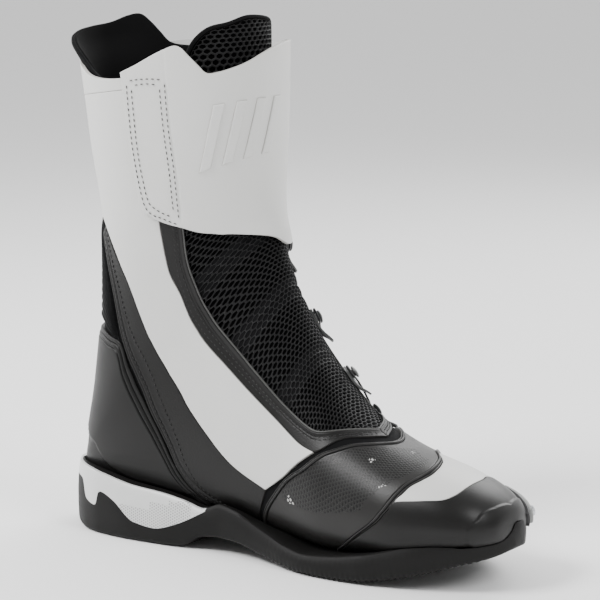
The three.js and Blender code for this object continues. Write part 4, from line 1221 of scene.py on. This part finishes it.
def make_reel():
    u, v, r = 0.885, -106, 15
    base = [(0, 0), (r - 0.3, 0), (r, 0.3), (r, 1.9), (r - 0.4, 2.4), (r - 1.4, 3.3),
            (r - 1.6, 3.6), (r - 1.6, 4.4), (0, 4.4)]
    base = turned("reel_base", base, u, v, 1.0, HARD_BLACK)
    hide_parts("reel_base")
    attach(base, "shaft")
    knob = [(0, 0), (r - 1.2, 0), (r - 0.7, 0.5), (r - 0.6, 1), (r - 0.6, 3.5), (r - 0.6, 6),
            (r - 1.0, 6.9), (r - 2.2, 7.6), (r - 4, 7.6), (r - 4.4, 7.3), (0, 7.3)]
    knob = turned("reel_knob", knob, u, v, 5.8, HARD_BLACK, steps=192, knurl=(24, 0.9, 0.4, 7.0))
    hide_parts("reel_knob")
    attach(knob, "reel_knob")
    cap = [(0, 0), (r - 5, 0), (r - 5, 0.4), (r - 5.5, 0.8), (r - 8, 0.8), (r - 8.3, 0.55),
           (r - 8.9, 0.55), (r - 9.2, 0.8), (0, 0.8)]
    cap = turned("reel_cap", cap, u, v, 13.7, GREY_PLASTIC)
    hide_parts("reel_cap")
    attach(cap, "reel_stem")


# ---------------------------------------------------------------- toe slider
SLIDER_PLACE = (0.082, -96)


def make_slider():
    u, v = SLIDER_PLACE

    def edges(half):
        """The two edge lines of a square about the slider's place, half a side in degrees."""
        reach = 0.0024 * half
        return [[(u + step, v + side * half) for step in (-reach, 0, reach)] for side in (-1, 1)]

    base = panel("toe_slider_base", *edges(21), HARD_BLACK, top=3.1, under=0.9, along=40,
                 across=16, rim=0.7)
    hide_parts("toe_slider_base")
    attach(base, "foot")
    block = panel("toe_slider", *edges(16), GREY_PLASTIC, top=5.3, under=3.3, along=40,
                  across=20, rim=1.4)
    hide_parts("toe_slider")
    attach(block, "foot")
    head = [(0, 0), (3, 0), (3, 0.9), (2.4, 1.5), (1.3, 1.5), (1.3, 0.5), (0, 0.5)]
    for number, step in ((1, -0.022), (2, 0.024)):
        screw = turned(f"slider_screw_{number}", head, u + step, v, 5.5, STEEL, steps=32)
        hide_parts(f"slider_screw_{number}")
        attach(screw, "foot")


# ---------------------------------------------------------------- sole and heel insert
# Sections from the heel to the toe: place in x, medial and lateral edge in y, and the height of
# the tread and of the wall's top.
SOLE = np.array([
    [-5, -3, 3.5, 12, 39], [-4, -9, 9.5, 8, 39], [0, -17, 18, 4, 39], [8, -27, 28, 1.5, 39],
    [20, -35, 36, 0, 38.5], [32, -39, 40, 0, 37], [57, -41.5, 42, 0, 33], [79, -41, 42, 0, 31],
    [95, -40, 42, 1.5, 28], [107, -39.5, 42, 8, 25], [119, -39, 42, 9, 29], [131, -40, 43, 8.5, 27],
    [145, -42, 45, 6, 22], [158, -45, 48, 3.5, 18], [172, -49, 51, 1.5, 14], [187, -52, 54, 0.2, 12],
    [205, -53, 56, 0, 13.5], [222, -53, 56, 1, 16.5], [238, -51, 54, 3.5, 20.5], [252, -49, 49, 7, 25],
    [266, -45, 42, 11, 29.5], [279, -39, 33, 15, 33.5], [290, -31, 22, 18, 35.5], [298, -20, 10, 21, 37.5],
    [302, -10, 0, 24, 37.5],
])
SOLE_SLOPES = slopes_of(SOLE)
TREAD_PITCH, TREAD_DEPTH, INSERT_GAP = 3.4, 1.0, 0.35
INSERT_EDGE = [  # the lower edge of the heel insert's wall: place in x and height
    (-12, 31), (13, 31), (15, 29.5), (19, 20.5), (21, 19), (28, 17.3), (29.5, 18.5), (31.5, 25.5),
    (34, 26.2), (45, 22), (57.5, 12.5), (62, 11.2), (74, 9.6), (80, 10.4), (95, 16), (110, 24),
]


def closed_loft(name, loops):
    """A closed solid through a stack of closed loops, its two ends filled."""
    bm = bmesh.new()
    rows, columns = loops.shape[:2]
    made, row, column = grid_of(bm, rows - 1, columns)
    for vert, i, j in zip(made, row, column):
        vert.co = loops[i, j % columns]
    bmesh.ops.remove_doubles(bm, verts=bm.verts[:], dist=1e-7)
    bmesh.ops.holes_fill(bm, edges=[e for e in bm.edges if e.is_boundary], sides=0)
    return to_piece(name, bm, SOLE_RUBBER)


def sole_loops(x, medial, lateral, bottom, top, inset=0.0):
    """Closed outlines across the sole at each x: a flat tread, rounded edges and bowed walls."""
    middle, half = (medial + lateral) / 2, np.maximum((lateral - medial) / 2 - inset, 0.6)
    edge = np.minimum(2.5, half * 0.6)
    rounds = np.radians([0, 22, 45, 67, 90])
    side_y = [0.4 * half, half - edge] + [half - edge + edge * math.sin(a) for a in rounds[1:]]
    side_z = [bottom, bottom] + [bottom + edge * (1 - math.cos(a)) for a in rounds[1:]]
    for part in (0.25, 0.5, 0.72, 0.86, 0.95):
        side_y.append(half + 0.7 * math.sin(part * math.pi) - 1.9 * part ** 3)
        side_z.append(bottom + edge + (top - bottom - edge) * part)
    side_y += [half - 2.6, half * 0.4]
    side_z += [top, top]
    y, z = np.stack(side_y, axis=1), np.stack(side_z, axis=1)
    y = np.concatenate([middle[:, None] + y, (middle[:, None] - y)[:, ::-1]], axis=1)
    z = np.concatenate([z, z[:, ::-1]], axis=1)
    loops = np.stack([np.broadcast_to(x[:, None], y.shape), y, z], axis=-1)
    return (loops - BOOT_MIDDLE) * MM


def cut(piece, tool, operation):
    """Cuts the piece with the tool, which is used up."""
    step = piece.modifiers.new("cut", "BOOLEAN")
    step.operation, step.object, step.solver = operation, tool, "EXACT"
    view = bpy.context.evaluated_depsgraph_get()
    shaped = bpy.data.meshes.new_from_object(piece.evaluated_get(view))
    piece.modifiers.clear()
    piece.data = shaped
    bpy.data.objects.remove(tool)


def make_sole():
    x = np.unique(np.concatenate([np.linspace(-5, 302, 160), np.arange(150, 296, 0.85)]))
    medial, lateral, bottom, top = table_at(SOLE, SOLE_SLOPES, x)
    tread = smoothstep(150, 160, x) * smoothstep(296, 280, x)
    bottom = bottom + TREAD_DEPTH * tread * (0.5 - 0.5 * np.cos(2 * np.pi * x / TREAD_PITCH))
    block = closed_loft("outsole", sole_loops(x, medial, lateral, bottom, top))
    u = np.concatenate([np.linspace(0.0006, 0.5, 80), np.linspace(0.505, 0.77, 50)])
    v = np.arange(0, 360, 3.75)
    rest = 1.1 + 1.9 * smoothstep(0.42, 0.5, u) + 0.6 * smoothstep(0.115, 0.1, u)
    last = closed_loft("last_block", skin(u[:, None], v[None], rest[:, None]))
    cut(block, last, "DIFFERENCE")
    pocket_u = np.linspace(SLIDER_PLACE[0] - 0.0552, SLIDER_PLACE[0] + 0.0552, 24)
    pocket_v = SLIDER_PLACE[1] + np.linspace(-23, 23, 24)
    outer = skin(pocket_u[:, None], pocket_v[None], 9.0)
    inner = skin(pocket_u[:, None], pocket_v[None], -1.0)
    pocket = closed_loft("slider_pocket", np.concatenate([outer, inner[:, ::-1]], axis=1))
    cut(block, pocket, "DIFFERENCE")

    def heel_zone(grow):
        """The room of the heel insert, grown on every side: a slab across the heel less a core."""
        edge = curve_through(INSERT_EDGE)(np.linspace(0, 1, 91))
        outline = [(a, b - grow) for a, b in edge]
        outline += [(110 + grow, 24 - grow), (110 + grow, 60), (-12, 60)]
        bm = bmesh.new()
        ring = [bm.verts.new(Vector(((a - BOOT_MIDDLE[0]) * MM, -0.07, b * MM))) for a, b in outline]
        face = bm.faces.new(ring)
        bmesh.ops.translate(bm, verts=doubled(bm, [face]), vec=(0, 0.14, 0))
        slab = to_piece("heel_zone", bm, SOLE_RUBBER)
        core_x = np.linspace(grow, 145, 60)
        medial, lateral, _, _ = table_at(SOLE, SOLE_SLOPES, core_x)
        flat = np.full_like(core_x, -5.0)
        core = sole_loops(core_x, medial, lateral, flat, flat + 75, inset=5 + grow)
        cut(slab, closed_loft("heel_core", core), "DIFFERENCE")
        return slab

    whole = block.copy()
    whole.data = block.data.copy()
    whole.name = "heel_insert"
    bpy.context.scene.collection.objects.link(whole)
    cut(whole, heel_zone(0.0), "INTERSECT")
    cut(block, heel_zone(INSERT_GAP), "DIFFERENCE")
    for piece, material in ((block, SOLE_RUBBER), (whole, INSERT_PLASTIC)):
        piece.data.materials.clear()
        piece.data.materials.append(material)
        piece.data.shade_smooth()
        piece.data.set_sharp_from_angle(angle=math.radians(32))
    uv = whole.data.uv_layers.new(name="pattern")
    side = whole.data.attributes.new("mark", "FLOAT", "POINT")
    spots = np.array([tuple(v.co) for v in whole.data.vertices]) / MM + BOOT_MIDDLE
    printed = (spots[:, 0] > 40) & (spots[:, 0] < 100) & (spots[:, 2] < 8.5 + 0.21 * spots[:, 0])
    side.data.foreach_set("value", printed.astype(float))
    corners = np.empty(len(whole.data.loops), int)
    whole.data.loops.foreach_get("vertex_index", corners)
    uv.data.foreach_set("uv", (spots[corners][:, [0, 2]] * MM).ravel())
    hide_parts("outsole")
    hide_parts("heel_insert")
    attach(block, "foot")
    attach(whole, "foot")


make_quarters()
make_mesh()
make_vamp()
make_heel()
make_collar()
make_tongue()
make_lining()
make_insoles()
make_flap()
make_hooks()
make_lace()
make_reel()
make_slider()
make_sole()
